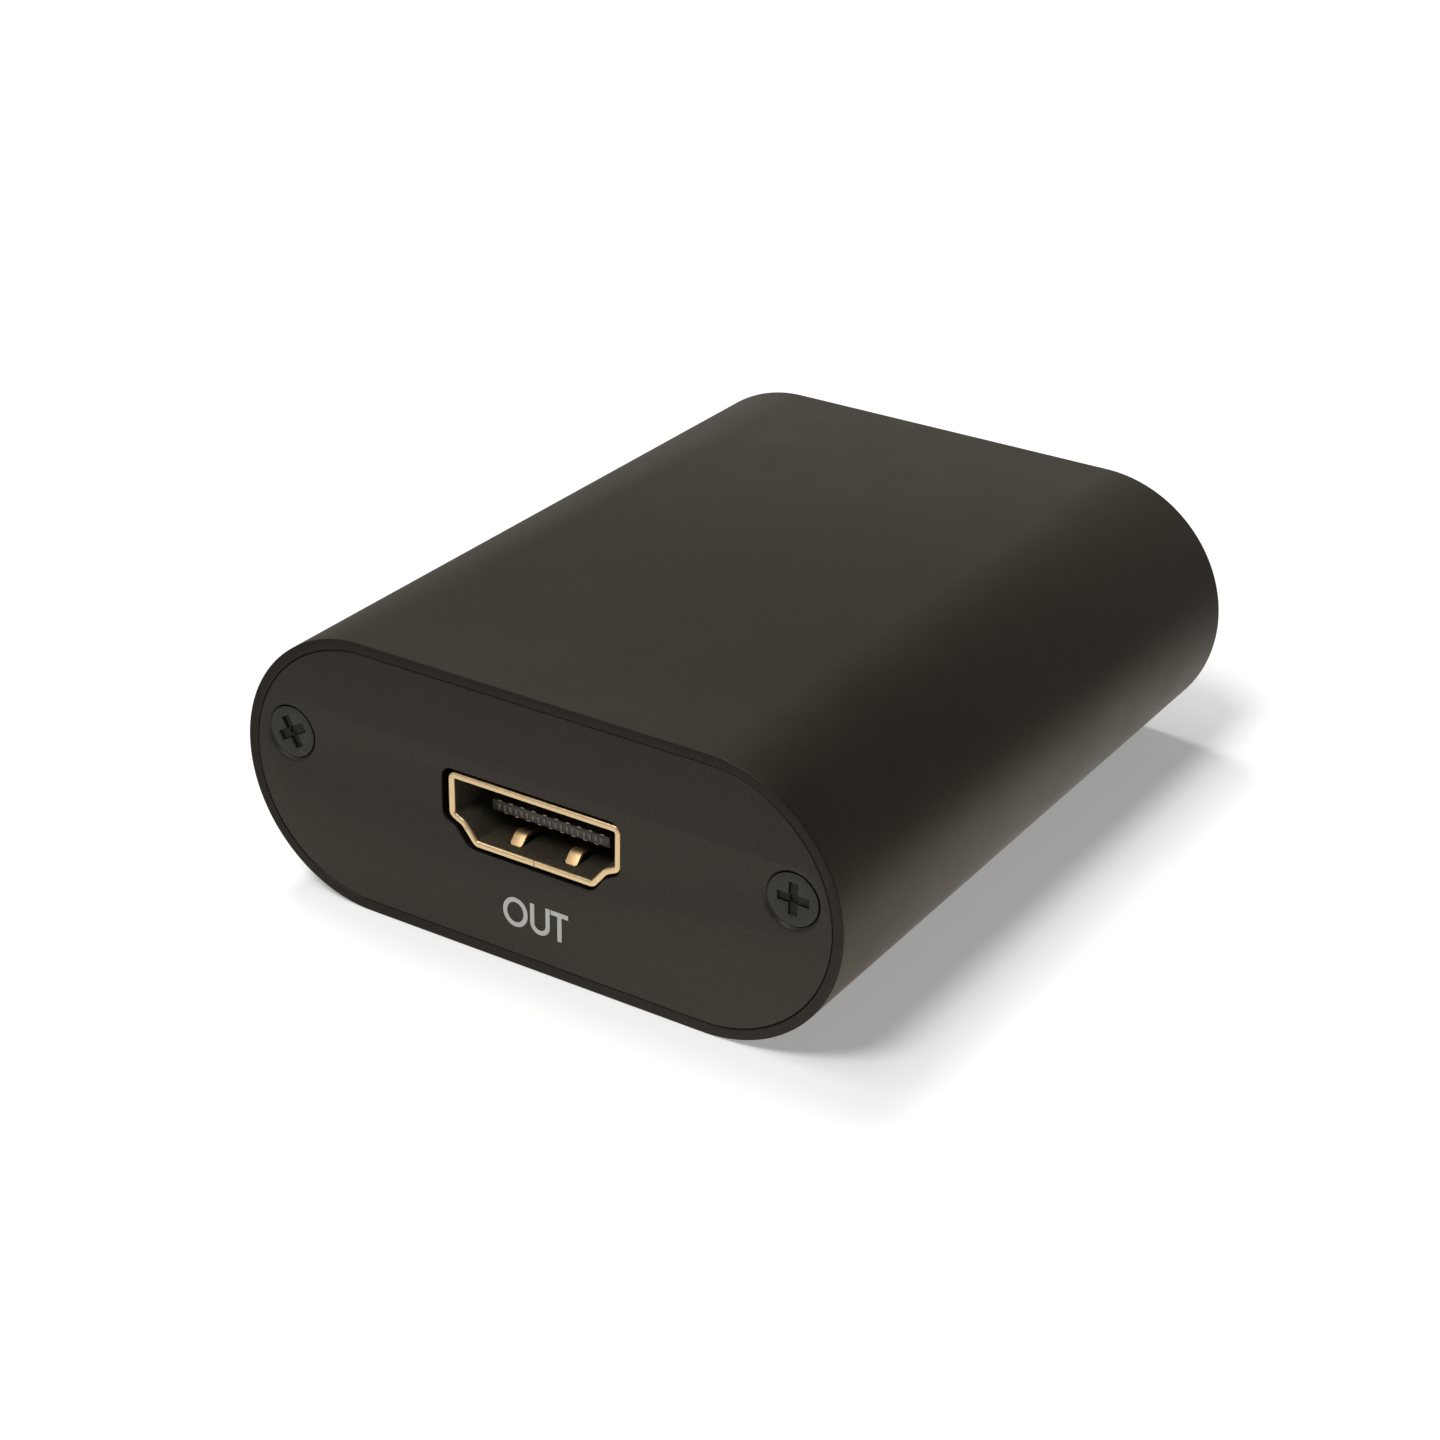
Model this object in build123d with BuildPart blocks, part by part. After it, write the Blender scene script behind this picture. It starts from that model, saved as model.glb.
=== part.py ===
from build123d import *
import os
from math import radians, sqrt, tan

os.makedirs("parts", exist_ok=True)

# Driving dimensions, in millimetres.
# X runs across the case, Y along it with the output end at -Y, and Z up from the surface it lies on.

# Extruded case
case_width = 52.0
case_height = 22.3
case_length = 61.5
wall = 1.4
rim = 0.86                  # wall left round each end plate
edge_break = 0.15           # small chamfer on the case's and plates' edges

# End plates
plate_thickness = 1.5
plate_gap = 0.18            # all round, between a plate and the rim
plate_shoulder = 0.02       # between a plate's back and the floor of its pocket

# Plate screws, M2.5 countersunk, cross recess
screw_inset = 4.15          # from the case's side to the middle of each screw
screw_rise = 1.95           # above the middle of the case's height
screw_length = 8.0
screw_radius = 1.25
head_radius = 2.15
sink_radius = 2.45          # the countersink's mouth, so that the head lies below the face
sink_angle = 90             # degrees, across the cone
thread_clearance = 0.03
shank_clearance = 0.15
cone_clearance = 0.02
cross_length = 2.7
cross_width = 0.75
cross_depth = 1.0
cross_taper = 12            # degrees
front_cross_turns = (30, 0) # degrees, as the screws came to rest
rear_cross_turns = (12, 50)
boss_radius = 2.7

# Circuit board and the slots that hold it
board_thickness = 1.6
board_end_gap = 1.3         # between the board and each end plate
board_side_gap = 0.45       # between the board's edges and the case's inner wall
board_shift = 0.25          # sideways play, taken up towards +X
slot_clearance = 0.1        # above and below the board
slot_grip = 1.5             # how far the ribs reach over the board's edges
rib_thickness = 1.2
hole_clearance = 0.2        # round each leg that passes through the board
leg_reach = 0.7             # how far legs stand out below the board

# Video sockets: a D-shaped opening with a dogleg at each lower corner
opening_width = 14.0
opening_height = 4.55
dogleg_rise = 1.775         # from the opening's floor up to where its side walls end
dogleg_step = 0.95          # width of the shallow slope
dogleg_drop = 0.45          # height of the shallow slope
floor_width = 10.0
opening_corner = 0.25
dogleg_round = 1.3
socket_rise = 0.27          # socket's middle above the middle of the case's height
lip_wall = 0.55
lip_depth = 0.8
lip_round = 0.2
shell_wall = 0.35
shell_depth = 11.9
socket_setback = 0.1        # lip behind the plate's face
plate_hole_gap = 0.4        # round the lip
tongue_front = 2.2
tongue_width = 10.4
tongue_thickness = 0.95
tongue_drop = 0.15          # below the opening's middle
tongue_bevel = 0.12
plug_depth = 9.0            # how far in the insulator's block starts
insulator_clearance = 0.03
contact_pitch = 1.0
contact_width = 0.3
contact_thickness = 0.2
top_contacts = 10
bottom_contacts = 9
contact_tail = 0.9          # how far the contacts stand out behind the shell
contact_foot = 0.7
finger_spread = 4.85        # between the two spring fingers of a wall
finger_width = 1.1
finger_thickness = 0.25
finger_lift = 0.42          # how far a finger stands into the opening
finger_tip = 1.45           # depth of its free end
finger_peak = 2.55
finger_root = 6.2
finger_gap = 0.25
leg_depths = (4.5, 9.9)
leg_length = 1.5

# Power inlet for a 5.5 mm barrel plug
jack_width = 9.0
jack_height = 11.0
jack_depth = 14.2
jack_gap = 0.2              # between the inlet's nose and the rear plate
jack_axis_rise = 6.5        # above the board
jack_bore_radius = 3.15
jack_bore_depth = 9.6
jack_hole_radius = 3.6      # in the rear plate
jack_corner = 1.0
jack_pin_radius = 1.0
jack_pin_setback = 0.6      # pin's tip behind the inlet's nose
jack_pin_tail = 1.2
jack_strip = 0.4            # thickness of the inlet's metal strips
jack_strip_width = 2.2
jack_strip_setback = 4.5    # from the nose to the front of the side strip
jack_strip_bite = 0.25      # how far the side strip stands into the bore

# Status light
light_radius = 1.5
light_flange_radius = 1.9
light_flange = 1.0
light_length = 5.0
light_dome = 0.8            # rounding of the tip, as a share of its radius
light_clearance = 0.35      # round it in the rear plate, more than the board's play
light_rise = 3.0            # above the board
light_lead = 0.5
light_lead_spread = 2.54
light_lead_run = 1.6

# Parts on the board; each place is measured from the middle of the board, and those with only a Y
# stand in the column between a socket and a screw boss
lead_knee = 0.33            # share of a chip lead's reach at which it turns down
chip_place = (0.0, -3.0)
chip_size = 10.0
chip_thickness = 1.4
chip_corner = 0.3
chip_standoff = 0.1
chip_leads = 16             # on each side
chip_lead_pitch = 0.5
chip_lead_width = 0.22
chip_lead_thickness = 0.13
chip_lead_reach = 1.0
pad_thickness = 0.5
pad_inset = 0.3
sink_size = 14.0
sink_base = 1.3
sink_height = 5.0
sink_fins = 6
sink_fin_thickness = 0.9
memory_y = -4.0
memory_width = 8.0
memory_length = 12.0
memory_thickness = 1.1
program_y = -13.2
program_width = 3.9
program_length = 4.9
program_thickness = 1.5
program_leads = 4           # on each side
program_lead_pitch = 1.27
program_lead_width = 0.4
program_lead_thickness = 0.2
crystal_y = -4.7
crystal_length = 11.0
crystal_width = 4.6
crystal_height = 3.5
crystal_round = 0.5
regulator_y = 7.0
regulator_width = 6.5
regulator_length = 3.5
regulator_thickness = 1.7
regulator_bevel = 0.2
regulator_tab = 3.0         # width of its heat tab
regulator_leads = 3
regulator_lead_pitch = 2.3
regulator_lead_width = 0.7
regulator_lead_thickness = 0.25
regulator_lead_reach = 1.7
inductor_place = (-4.6, 9.6)
inductor_size = 6.0
inductor_height = 2.8
inductor_chamfer = 1.0
capacitor_places = ((3.6, 10.0), (10.6, 10.0))
capacitor_radius = 2.5
capacitor_height = 5.2
capacitor_round = 0.4
capacitor_base = 5.3
capacitor_base_height = 0.4
diode_y = 2.2
diode_size = (4.3, 2.6, 2.1)
ceramic_size = (0.8, 1.6, 0.8)
ceramic_columns = 5
ceramic_pitch = 2.0
ceramic_row_gap = 17.4      # between the two rows, one at each side of the converter chip
resistor_y = -14.0
resistor_size = (1.6, 0.8, 0.45)
resistor_columns = 4
resistor_rows = 3
resistor_pitch = (2.4, 2.0)
surge_size = (2.5, 1.0, 0.6)
surge_gap = 1.0             # between a socket's shell and its two surge arrays
surge_depths = (8.6, 10.9)  # behind the lip

# Levels and planes worked out from the sizes above
mid_height = case_height / 2
end_y = case_length / 2
screw_x = case_width / 2 - screw_inset
column_x = (screw_x - boss_radius + opening_width / 2 + shell_wall) / 2
socket_z = mid_height + socket_rise
board_top = socket_z - opening_height / 2 - shell_wall
board_bottom = board_top - board_thickness
pocket_depth = plate_thickness + plate_shoulder
board_end = end_y - pocket_depth - board_end_gap
inner_radius = mid_height - wall
arc_centre_x = case_width / 2 - mid_height
inner_half = arc_centre_x + sqrt(inner_radius**2 - (mid_height - board_bottom) ** 2)
board_half = inner_half - board_side_gap
leg_bottom = board_bottom - leg_reach

# Each end plane looks outwards, with its Y upwards and its origin at the middle of the case's height
front_end = Plane(origin=(0, -end_y, mid_height), x_dir=(1, 0, 0), z_dir=(0, -1, 0))
rear_end = Plane(origin=(0, end_y, mid_height), x_dir=(-1, 0, 0), z_dir=(0, 1, 0))
board_plane = Plane.XY.offset(board_top)


def opening_outline(growth):
    """The socket's opening, grown outwards all round."""
    half_width = opening_width / 2
    half_height = opening_height / 2
    side_end = dogleg_rise - half_height
    right = [
        (floor_width / 2, -half_height),
        (half_width - dogleg_step, side_end - dogleg_drop),
        (half_width, side_end),
        (half_width, half_height),
    ]
    left = [(-x, y) for x, y in reversed(right)]
    rounds = [opening_corner, dogleg_round, opening_corner, opening_corner]
    with BuildSketch() as outline:
        with BuildLine():
            FilletPolyline(*right, *left, radius=rounds + rounds[::-1], close=True)
        make_face()
        if growth:
            offset(amount=growth)
    return outline.sketch


opening = opening_outline(0)
lip_outline = opening_outline(lip_wall)
shell_outline = opening_outline(shell_wall)
insulator_outline = opening_outline(-insulator_clearance)
plate_hole = opening_outline(lip_wall + plate_hole_gap)


def socket_mouth(end, x):
    """The plane of a socket's lip; its origin is the opening's middle."""
    return Plane(
        origin=(x, end.origin.Y - end.z_dir.Y * socket_setback, socket_z),
        x_dir=end.x_dir,
        z_dir=end.z_dir,
    )


def side_plane(mouth, x):
    """A plane across the socket at x: its X is the depth behind the mouth and its Y is up."""
    origin = mouth.origin + mouth.x_dir * x
    return Plane(origin=origin, x_dir=mouth.z_dir * -1, z_dir=mouth.x_dir)


output_mouth = socket_mouth(front_end, board_shift)
input_mouth = socket_mouth(rear_end, board_shift)
jack_x = -column_x
light_x = column_x
jack_z = board_top + jack_axis_rise
light_z = board_top + light_rise

# Case: a stadium-shaped tube with board slots and two screw channels
upper_rib_bottom = board_top + slot_clearance - mid_height
lower_rib_top = board_bottom - slot_clearance - mid_height
rib_edge = board_half - slot_grip
rib_length = case_width / 2 - rib_edge
with BuildPart() as case_sleeve:
    with BuildSketch(front_end):
        SlotOverall(case_width, case_height)
        SlotOverall(case_width - 2 * wall, case_height - 2 * wall, mode=Mode.SUBTRACT)
    extrude(amount=-case_length)
    with BuildSketch(front_end):
        for side in (-1, 1):
            with Locations((side * screw_x, screw_rise)):
                Circle(boss_radius)
            with Locations((side * (rib_edge + rib_length / 2), (upper_rib_bottom + screw_rise) / 2)):
                Rectangle(rib_length, screw_rise - upper_rib_bottom)
            with Locations((side * (rib_edge + rib_length / 2), lower_rib_top - rib_thickness / 2)):
                Rectangle(rib_length, rib_thickness)
        SlotOverall(case_width - wall, case_height - wall, mode=Mode.INTERSECT)
    extrude(amount=-case_length)
    with BuildSketch(front_end):
        with Locations((-screw_x, screw_rise), (screw_x, screw_rise)):
            Circle(screw_radius + thread_clearance)
    extrude(amount=-case_length, mode=Mode.SUBTRACT)
    with BuildSketch(front_end, rear_end):
        SlotOverall(case_width - 2 * rim, case_height - 2 * rim)
    extrude(amount=-pocket_depth, mode=Mode.SUBTRACT)
    end_faces = case_sleeve.faces().filter_by(Axis.Y).group_by(Axis.Y)
    chamfer(end_faces[0].edges() + end_faces[-1].edges(), edge_break)
case_sleeve.part.label = "case_sleeve"
export_step(case_sleeve.part, "parts/case_sleeve.step")


def plate_blank(end):
    """An end plate with its screw holes, countersunk from outside, drawn in the open part block."""
    with BuildSketch(end) as blank:
        SlotOverall(case_width - 2 * (rim + plate_gap), case_height - 2 * (rim + plate_gap))
    extrude(blank.sketch, amount=-plate_thickness)
    chamfer(faces().sort_by(Axis(end.origin, end.z_dir))[-1].edges(), edge_break)
    with Locations(end):
        with Locations((-screw_x, screw_rise), (screw_x, screw_rise)):
            CounterSinkHole(
                screw_radius + shank_clearance,
                sink_radius,
                depth=plate_thickness,
                counter_sink_angle=sink_angle,
            )


with BuildPart() as front_plate:
    plate_blank(front_end)
    with BuildSketch(Plane(origin=(0, -end_y, socket_z), x_dir=front_end.x_dir, z_dir=front_end.z_dir)):
        add(plate_hole)
    extrude(amount=-plate_thickness, mode=Mode.SUBTRACT)
front_plate.part.label = "front_plate"
export_step(front_plate.part, "parts/front_plate.step")

with BuildPart() as rear_plate:
    plate_blank(rear_end)
    with BuildSketch(Plane(origin=(0, end_y, socket_z), x_dir=rear_end.x_dir, z_dir=rear_end.z_dir)):
        add(plate_hole)
        with Locations((-jack_x, jack_z - socket_z)):
            Circle(jack_hole_radius)
        with Locations((-light_x, light_z - socket_z)):
            Circle(light_radius + light_clearance)
    extrude(amount=-plate_thickness, mode=Mode.SUBTRACT)
rear_plate.part.label = "rear_plate"
export_step(rear_plate.part, "parts/rear_plate.step")

# Screws: each head's cone rests in its countersink, below the plate's face
cone_slope = tan(radians(sink_angle / 2))
head_sink = (sink_radius - head_radius - cone_clearance) / cone_slope
head_height = (head_radius - screw_radius) / cone_slope
screw_tip = screw_radius / 2


def plate_screws(end, turns):
    """The two screws of an end plate; turns holds the angle of each cross recess."""
    with BuildPart() as screws:
        for side, turn in zip((-1, 1), turns):
            centre = end.from_local_coords((side * screw_x, screw_rise, -head_sink))
            # in this plane Y runs inwards, along the screw
            with BuildSketch(Plane(origin=centre, x_dir=end.x_dir, z_dir=(0, 0, 1))):
                with BuildLine():
                    Polyline(
                        (0, 0),
                        (head_radius, 0),
                        (screw_radius, head_height),
                        (screw_radius, screw_length - screw_tip),
                        (screw_tip, screw_length),
                        (0, screw_length),
                        close=True,
                    )
                make_face()
            revolve(axis=Axis(centre, end.z_dir))
            with BuildSketch(Plane(origin=centre, x_dir=end.x_dir, z_dir=end.z_dir)):
                Rectangle(cross_length, cross_width, rotation=turn)
                Rectangle(cross_width, cross_length, rotation=turn)
            extrude(amount=-cross_depth, taper=cross_taper, mode=Mode.SUBTRACT)
    return screws.part


screw_sets = (
    ("front_screws", front_end, front_cross_turns),
    ("rear_screws", rear_end, rear_cross_turns),
)
for name, end, turns in screw_sets:
    screws_part = plate_screws(end, turns)
    screws_part.label = name
    export_step(screws_part, f"parts/{name}.step")


# Video sockets
def socket_shell(mouth):
    """A folded metal shell with a thick rolled lip, spring fingers above and below, and four legs."""
    half_height = opening_height / 2
    wall_middle = half_height + shell_wall / 2
    window_length = finger_root - finger_tip + finger_gap
    window_middle = finger_root - window_length / 2
    peak_level = half_height - finger_lift + finger_thickness / 2
    finger_planes = [side_plane(mouth, side * finger_spread / 2) for side in (-1, 1)]
    with BuildPart() as shell:
        with BuildSketch(mouth):
            add(lip_outline)
            add(opening, mode=Mode.SUBTRACT)
        extrude(amount=-lip_depth)
        fillet(faces().sort_by(Axis(mouth.origin, mouth.z_dir))[-1].edges(), lip_round)
        with BuildSketch(mouth.offset(-lip_depth)):
            add(shell_outline)
            add(opening, mode=Mode.SUBTRACT)
        extrude(amount=lip_depth - shell_depth)
        # each finger bends in through its own window in the wall
        with BuildSketch(*finger_planes):
            with Locations((window_middle, -wall_middle), (window_middle, wall_middle)):
                Rectangle(window_length, 2 * shell_wall)
        extrude(amount=finger_width / 2 + finger_gap, both=True, mode=Mode.SUBTRACT)
        for wall_side in (-1, 1):
            with BuildSketch(*finger_planes):
                with BuildLine():
                    Spline(
                        (finger_root + finger_gap, wall_side * wall_middle),
                        (finger_peak, wall_side * peak_level),
                        (finger_tip, wall_side * wall_middle),
                        tangents=((-1, 0), (-1, wall_side)),
                    )
                trace(line_width=finger_thickness)
            extrude(amount=finger_width / 2, both=True)
        leg_top = dogleg_rise
        leg_foot = leg_bottom - socket_z
        leg_side = (opening_width + shell_wall) / 2
        with BuildSketch(side_plane(mouth, -leg_side), side_plane(mouth, leg_side)):
            with Locations(*[(depth, (leg_top + leg_foot) / 2) for depth in leg_depths]):
                Rectangle(leg_length, leg_top - leg_foot)
        extrude(amount=shell_wall / 2, both=True)
    return shell.part


def socket_contacts(mouth):
    """Two staggered rows of contacts that run along the tongue, through the block and down to the board."""
    level = (tongue_thickness - contact_thickness) / 2
    foot_level = board_top - socket_z + contact_thickness / 2
    bend = shell_depth + contact_tail
    with BuildPart() as contacts:
        for count, row_level in ((top_contacts, level), (bottom_contacts, -level)):
            places = [(k - (count - 1) / 2) * contact_pitch for k in range(count)]
            with BuildSketch(*[side_plane(mouth, x) for x in places]):
                with BuildLine():
                    Polyline(
                        (tongue_front, row_level - tongue_drop),
                        (bend, row_level - tongue_drop),
                        (bend, foot_level),
                        (bend + contact_foot, foot_level),
                    )
                trace(line_width=contact_thickness)
            extrude(amount=contact_width / 2, both=True)
    return contacts.part


def socket_insulator(mouth, contacts):
    """The moulded block that fills the back of the shell, with the tongue that carries the contacts."""
    with BuildPart() as insulator:
        with BuildSketch(mouth.offset(-plug_depth)):
            add(insulator_outline)
        extrude(amount=plug_depth - shell_depth)
        with BuildSketch(mouth.offset(-tongue_front)):
            with Locations((0, -tongue_drop)):
                Rectangle(tongue_width, tongue_thickness)
        extrude(amount=tongue_front - plug_depth)
        tip = faces().sort_by(Axis(mouth.origin, mouth.z_dir))[-1]
        chamfer(tip.edges(), tongue_bevel)
        add(contacts, mode=Mode.SUBTRACT)
    return insulator.part


for name, mouth in (("output_socket", output_mouth), ("input_socket", input_mouth)):
    contacts_part = socket_contacts(mouth)
    pieces = {
        "shell": socket_shell(mouth),
        "contacts": contacts_part,
        "insulator": socket_insulator(mouth, contacts_part),
    }
    for piece, part in pieces.items():
        part.label = f"{name}_{piece}"
        export_step(part, f"parts/{name}_{piece}.step")

# Power inlet: a moulded block with a bore, a centre pin and two metal strips
jack_nose_y = end_y - pocket_depth - jack_gap
jack_nose = Plane(
    origin=(jack_x + board_shift, jack_nose_y, jack_z), x_dir=rear_end.x_dir, z_dir=rear_end.z_dir
)
strip_foot = leg_bottom - jack_z
side_strip_x = jack_bore_radius - jack_strip_bite + jack_strip / 2
side_strip_top = jack_strip_width / 2
with BuildPart() as power_jack_strips:
    # the side strip touches the plug's sleeve
    with BuildSketch(jack_nose.offset(-jack_strip_setback)):
        with Locations((side_strip_x, (side_strip_top + strip_foot) / 2)):
            Rectangle(jack_strip, side_strip_top - strip_foot)
    extrude(amount=-jack_strip_width)
    # the back strip carries the centre pin
    with BuildSketch(jack_nose.offset(-jack_depth)):
        with Locations((0, (jack_pin_tail + strip_foot) / 2)):
            Rectangle(jack_strip_width, jack_pin_tail - strip_foot)
    extrude(amount=-jack_strip)
power_jack_strips.part.label = "power_jack_strips"
export_step(power_jack_strips.part, "parts/power_jack_strips.step")

with BuildPart() as power_jack_pin:
    with BuildSketch(jack_nose.offset(-jack_pin_setback)):
        Circle(jack_pin_radius)
    extrude(amount=jack_pin_setback - jack_depth)
    fillet(faces().sort_by(Axis.Y)[-1].edges(), jack_pin_radius / 2)
power_jack_pin.part.label = "power_jack_pin"
export_step(power_jack_pin.part, "parts/power_jack_pin.step")

with BuildPart() as power_jack_housing:
    with BuildSketch(jack_nose):
        with Locations((0, jack_height / 2 - jack_axis_rise)):
            RectangleRounded(jack_width, jack_height, jack_corner)
    extrude(amount=-jack_depth)
    with BuildSketch(jack_nose):
        Circle(jack_bore_radius)
    extrude(amount=-jack_bore_depth, mode=Mode.SUBTRACT)
    add(power_jack_pin.part, mode=Mode.SUBTRACT)
    add(power_jack_strips.part, mode=Mode.SUBTRACT)
power_jack_housing.part.label = "power_jack_housing"
export_step(power_jack_housing.part, "parts/power_jack_housing.step")

# Status light, lying on its side with its dome in the rear plate
light_tip_y = end_y - edge_break
light_back_y = light_tip_y - light_length
light_plane = Plane(
    origin=(light_x + board_shift, light_tip_y, light_z), x_dir=rear_end.x_dir, z_dir=rear_end.z_dir
)
with BuildPart() as status_light:
    with BuildSketch(light_plane):
        Circle(light_radius)
    extrude(amount=-light_length)
    fillet(faces().sort_by(Axis.Y)[-1].edges(), light_radius * light_dome)
    with BuildSketch(light_plane.offset(-light_length)):
        Circle(light_flange_radius)
    extrude(amount=light_flange)
status_light.part.label = "status_light"
export_step(status_light.part, "parts/status_light.step")

light_lead_y = light_back_y - light_lead_run
light_lead_places = [light_x + board_shift + side * light_lead_spread / 2 for side in (-1, 1)]
with BuildPart() as status_light_leads:
    with BuildSketch(*[Plane.YZ.offset(x) for x in light_lead_places]):
        with BuildLine():
            FilletPolyline(
                (light_back_y, light_z),
                (light_lead_y, light_z),
                (light_lead_y, leg_bottom),
                radius=light_lead,
            )
        trace(line_width=light_lead)
    extrude(amount=light_lead / 2, both=True)
status_light_leads.part.label = "status_light_leads"
export_step(status_light_leads.part, "parts/status_light_leads.step")

# Circuit board, with a slot or hole for each leg that passes through it
strip_slot = (jack_strip + 2 * hole_clearance, jack_strip_width + 2 * hole_clearance)
with BuildPart() as circuit_board:
    with BuildSketch(board_plane):
        with Locations((board_shift, 0)):
            Rectangle(2 * board_half, 2 * board_end)
        for mouth in (output_mouth, input_mouth):
            for depth in leg_depths:
                for side in (-1, 1):
                    leg = mouth.from_local_coords((side * (opening_width + shell_wall) / 2, 0, -depth))
                    with Locations((leg.X, leg.Y)):
                        Rectangle(
                            shell_wall + 2 * hole_clearance,
                            leg_length + 2 * hole_clearance,
                            mode=Mode.SUBTRACT,
                        )
        side_strip_y = jack_nose_y - jack_strip_setback - jack_strip_width / 2
        back_strip_y = jack_nose_y - jack_depth - jack_strip / 2
        with Locations((jack_nose.origin.X - side_strip_x, side_strip_y)):
            Rectangle(*strip_slot, mode=Mode.SUBTRACT)
        with Locations((jack_nose.origin.X, back_strip_y)):
            Rectangle(*reversed(strip_slot), mode=Mode.SUBTRACT)
        with Locations(*[(x, light_lead_y) for x in light_lead_places]):
            Circle(light_lead + hole_clearance / 2, mode=Mode.SUBTRACT)
    extrude(amount=-board_thickness)
circuit_board.part.label = "circuit_board"
export_step(circuit_board.part, "parts/circuit_board.step")

# Parts on the board
def on_board(x, y, rise=0):
    """A plane parallel to the board at a place on it."""
    return Plane(origin=(x + board_shift, y, board_top + rise))


def lead_planes(place, turns, count, pitch):
    """Upright planes, one for each lead of a chip's sides: their X points outwards and their Y up."""
    planes = []
    for turn in turns:
        out = Vector(1, 0, 0).rotate(Axis.Z, turn)
        across = out.cross(Vector(0, 0, 1))
        for k in range(count):
            shift = (k - (count - 1) / 2) * pitch
            origin = on_board(*place).origin + across * shift
            planes.append(Plane(origin=origin, x_dir=out, z_dir=across))
    return planes


def bent_leads(planes, body_half, exit_rise, reach, thickness, width):
    """Leads in the open part block, each out of the chip's side, down, and along the board."""
    knee = body_half + reach * lead_knee
    foot_rise = thickness / 2
    with BuildSketch(*planes) as profile:
        with BuildLine():
            Polyline(
                (body_half, exit_rise),
                (knee, exit_rise),
                (knee, foot_rise),
                (body_half + reach, foot_rise),
            )
        trace(line_width=thickness)
    extrude(profile.sketch, amount=width / 2, both=True)


with BuildPart() as converter_chip:
    with BuildSketch(on_board(*chip_place, chip_standoff)):
        RectangleRounded(chip_size, chip_size, chip_corner)
    extrude(amount=chip_thickness)
    chamfer(faces().sort_by(Axis.Z)[-1].edges(), chip_standoff)
converter_chip.part.label = "converter_chip"
export_step(converter_chip.part, "parts/converter_chip.step")

with BuildPart() as converter_chip_leads:
    bent_leads(
        lead_planes(chip_place, (0, 90, 180, 270), chip_leads, chip_lead_pitch),
        chip_size / 2,
        chip_standoff + chip_thickness / 2,
        chip_lead_reach,
        chip_lead_thickness,
        chip_lead_width,
    )
converter_chip_leads.part.label = "converter_chip_leads"
export_step(converter_chip_leads.part, "parts/converter_chip_leads.step")

chip_top = chip_standoff + chip_thickness
with BuildPart() as thermal_pad:
    with BuildSketch(on_board(*chip_place, chip_top)):
        Rectangle(chip_size - 2 * pad_inset, chip_size - 2 * pad_inset)
    extrude(amount=pad_thickness)
thermal_pad.part.label = "thermal_pad"
export_step(thermal_pad.part, "parts/thermal_pad.step")

with BuildPart() as heat_sink:
    with BuildSketch(on_board(*chip_place, chip_top + pad_thickness)):
        Rectangle(sink_size, sink_size)
    extrude(amount=sink_base)
    fin_pitch = (sink_size - sink_fin_thickness) / (sink_fins - 1)
    with BuildSketch(on_board(*chip_place, chip_top + pad_thickness + sink_base)):
        with GridLocations(fin_pitch, 1, sink_fins, 1):
            Rectangle(sink_fin_thickness, sink_size)
    extrude(amount=sink_height - sink_base)
heat_sink.part.label = "heat_sink"
export_step(heat_sink.part, "parts/heat_sink.step")

with BuildPart() as frame_memory:
    with BuildSketch(on_board(column_x, memory_y)):
        Rectangle(memory_width, memory_length)
    extrude(amount=memory_thickness)
frame_memory.part.label = "frame_memory"
export_step(frame_memory.part, "parts/frame_memory.step")

with BuildPart() as program_memory:
    with BuildSketch(on_board(-column_x, program_y, chip_standoff)):
        Rectangle(program_width, program_length)
    extrude(amount=program_thickness)
program_memory.part.label = "program_memory"
export_step(program_memory.part, "parts/program_memory.step")

with BuildPart() as program_memory_leads:
    bent_leads(
        lead_planes((-column_x, program_y), (0, 180), program_leads, program_lead_pitch),
        program_width / 2,
        chip_standoff + program_thickness / 2,
        chip_lead_reach,
        program_lead_thickness,
        program_lead_width,
    )
program_memory_leads.part.label = "program_memory_leads"
export_step(program_memory_leads.part, "parts/program_memory_leads.step")

with BuildPart() as clock_crystal:
    with BuildSketch(on_board(-column_x, crystal_y)):
        SlotOverall(crystal_length, crystal_width, rotation=90)
    extrude(amount=crystal_height)
    fillet(faces().sort_by(Axis.Z)[-1].edges(), crystal_round)
clock_crystal.part.label = "clock_crystal"
export_step(clock_crystal.part, "parts/clock_crystal.step")

with BuildPart() as voltage_regulator:
    with BuildSketch(on_board(-column_x, regulator_y, chip_standoff)):
        Rectangle(regulator_width, regulator_length)
    extrude(amount=regulator_thickness)
    chamfer(faces().sort_by(Axis.Z)[-1].edges(), regulator_bevel)
voltage_regulator.part.label = "voltage_regulator"
export_step(voltage_regulator.part, "parts/voltage_regulator.step")

with BuildPart() as voltage_regulator_leads:
    for turn, count, width in ((90, 1, regulator_tab), (270, regulator_leads, regulator_lead_width)):
        bent_leads(
            lead_planes((-column_x, regulator_y), (turn,), count, regulator_lead_pitch),
            regulator_length / 2,
            chip_standoff + regulator_thickness / 2,
            regulator_lead_reach,
            regulator_lead_thickness,
            width,
        )
voltage_regulator_leads.part.label = "voltage_regulator_leads"
export_step(voltage_regulator_leads.part, "parts/voltage_regulator_leads.step")

with BuildPart() as power_inductor:
    with BuildSketch(on_board(*inductor_place)):
        Rectangle(inductor_size, inductor_size)
    extrude(amount=inductor_height)
    chamfer(edges().filter_by(Axis.Z), inductor_chamfer)
power_inductor.part.label = "power_inductor"
export_step(power_inductor.part, "parts/power_inductor.step")

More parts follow.
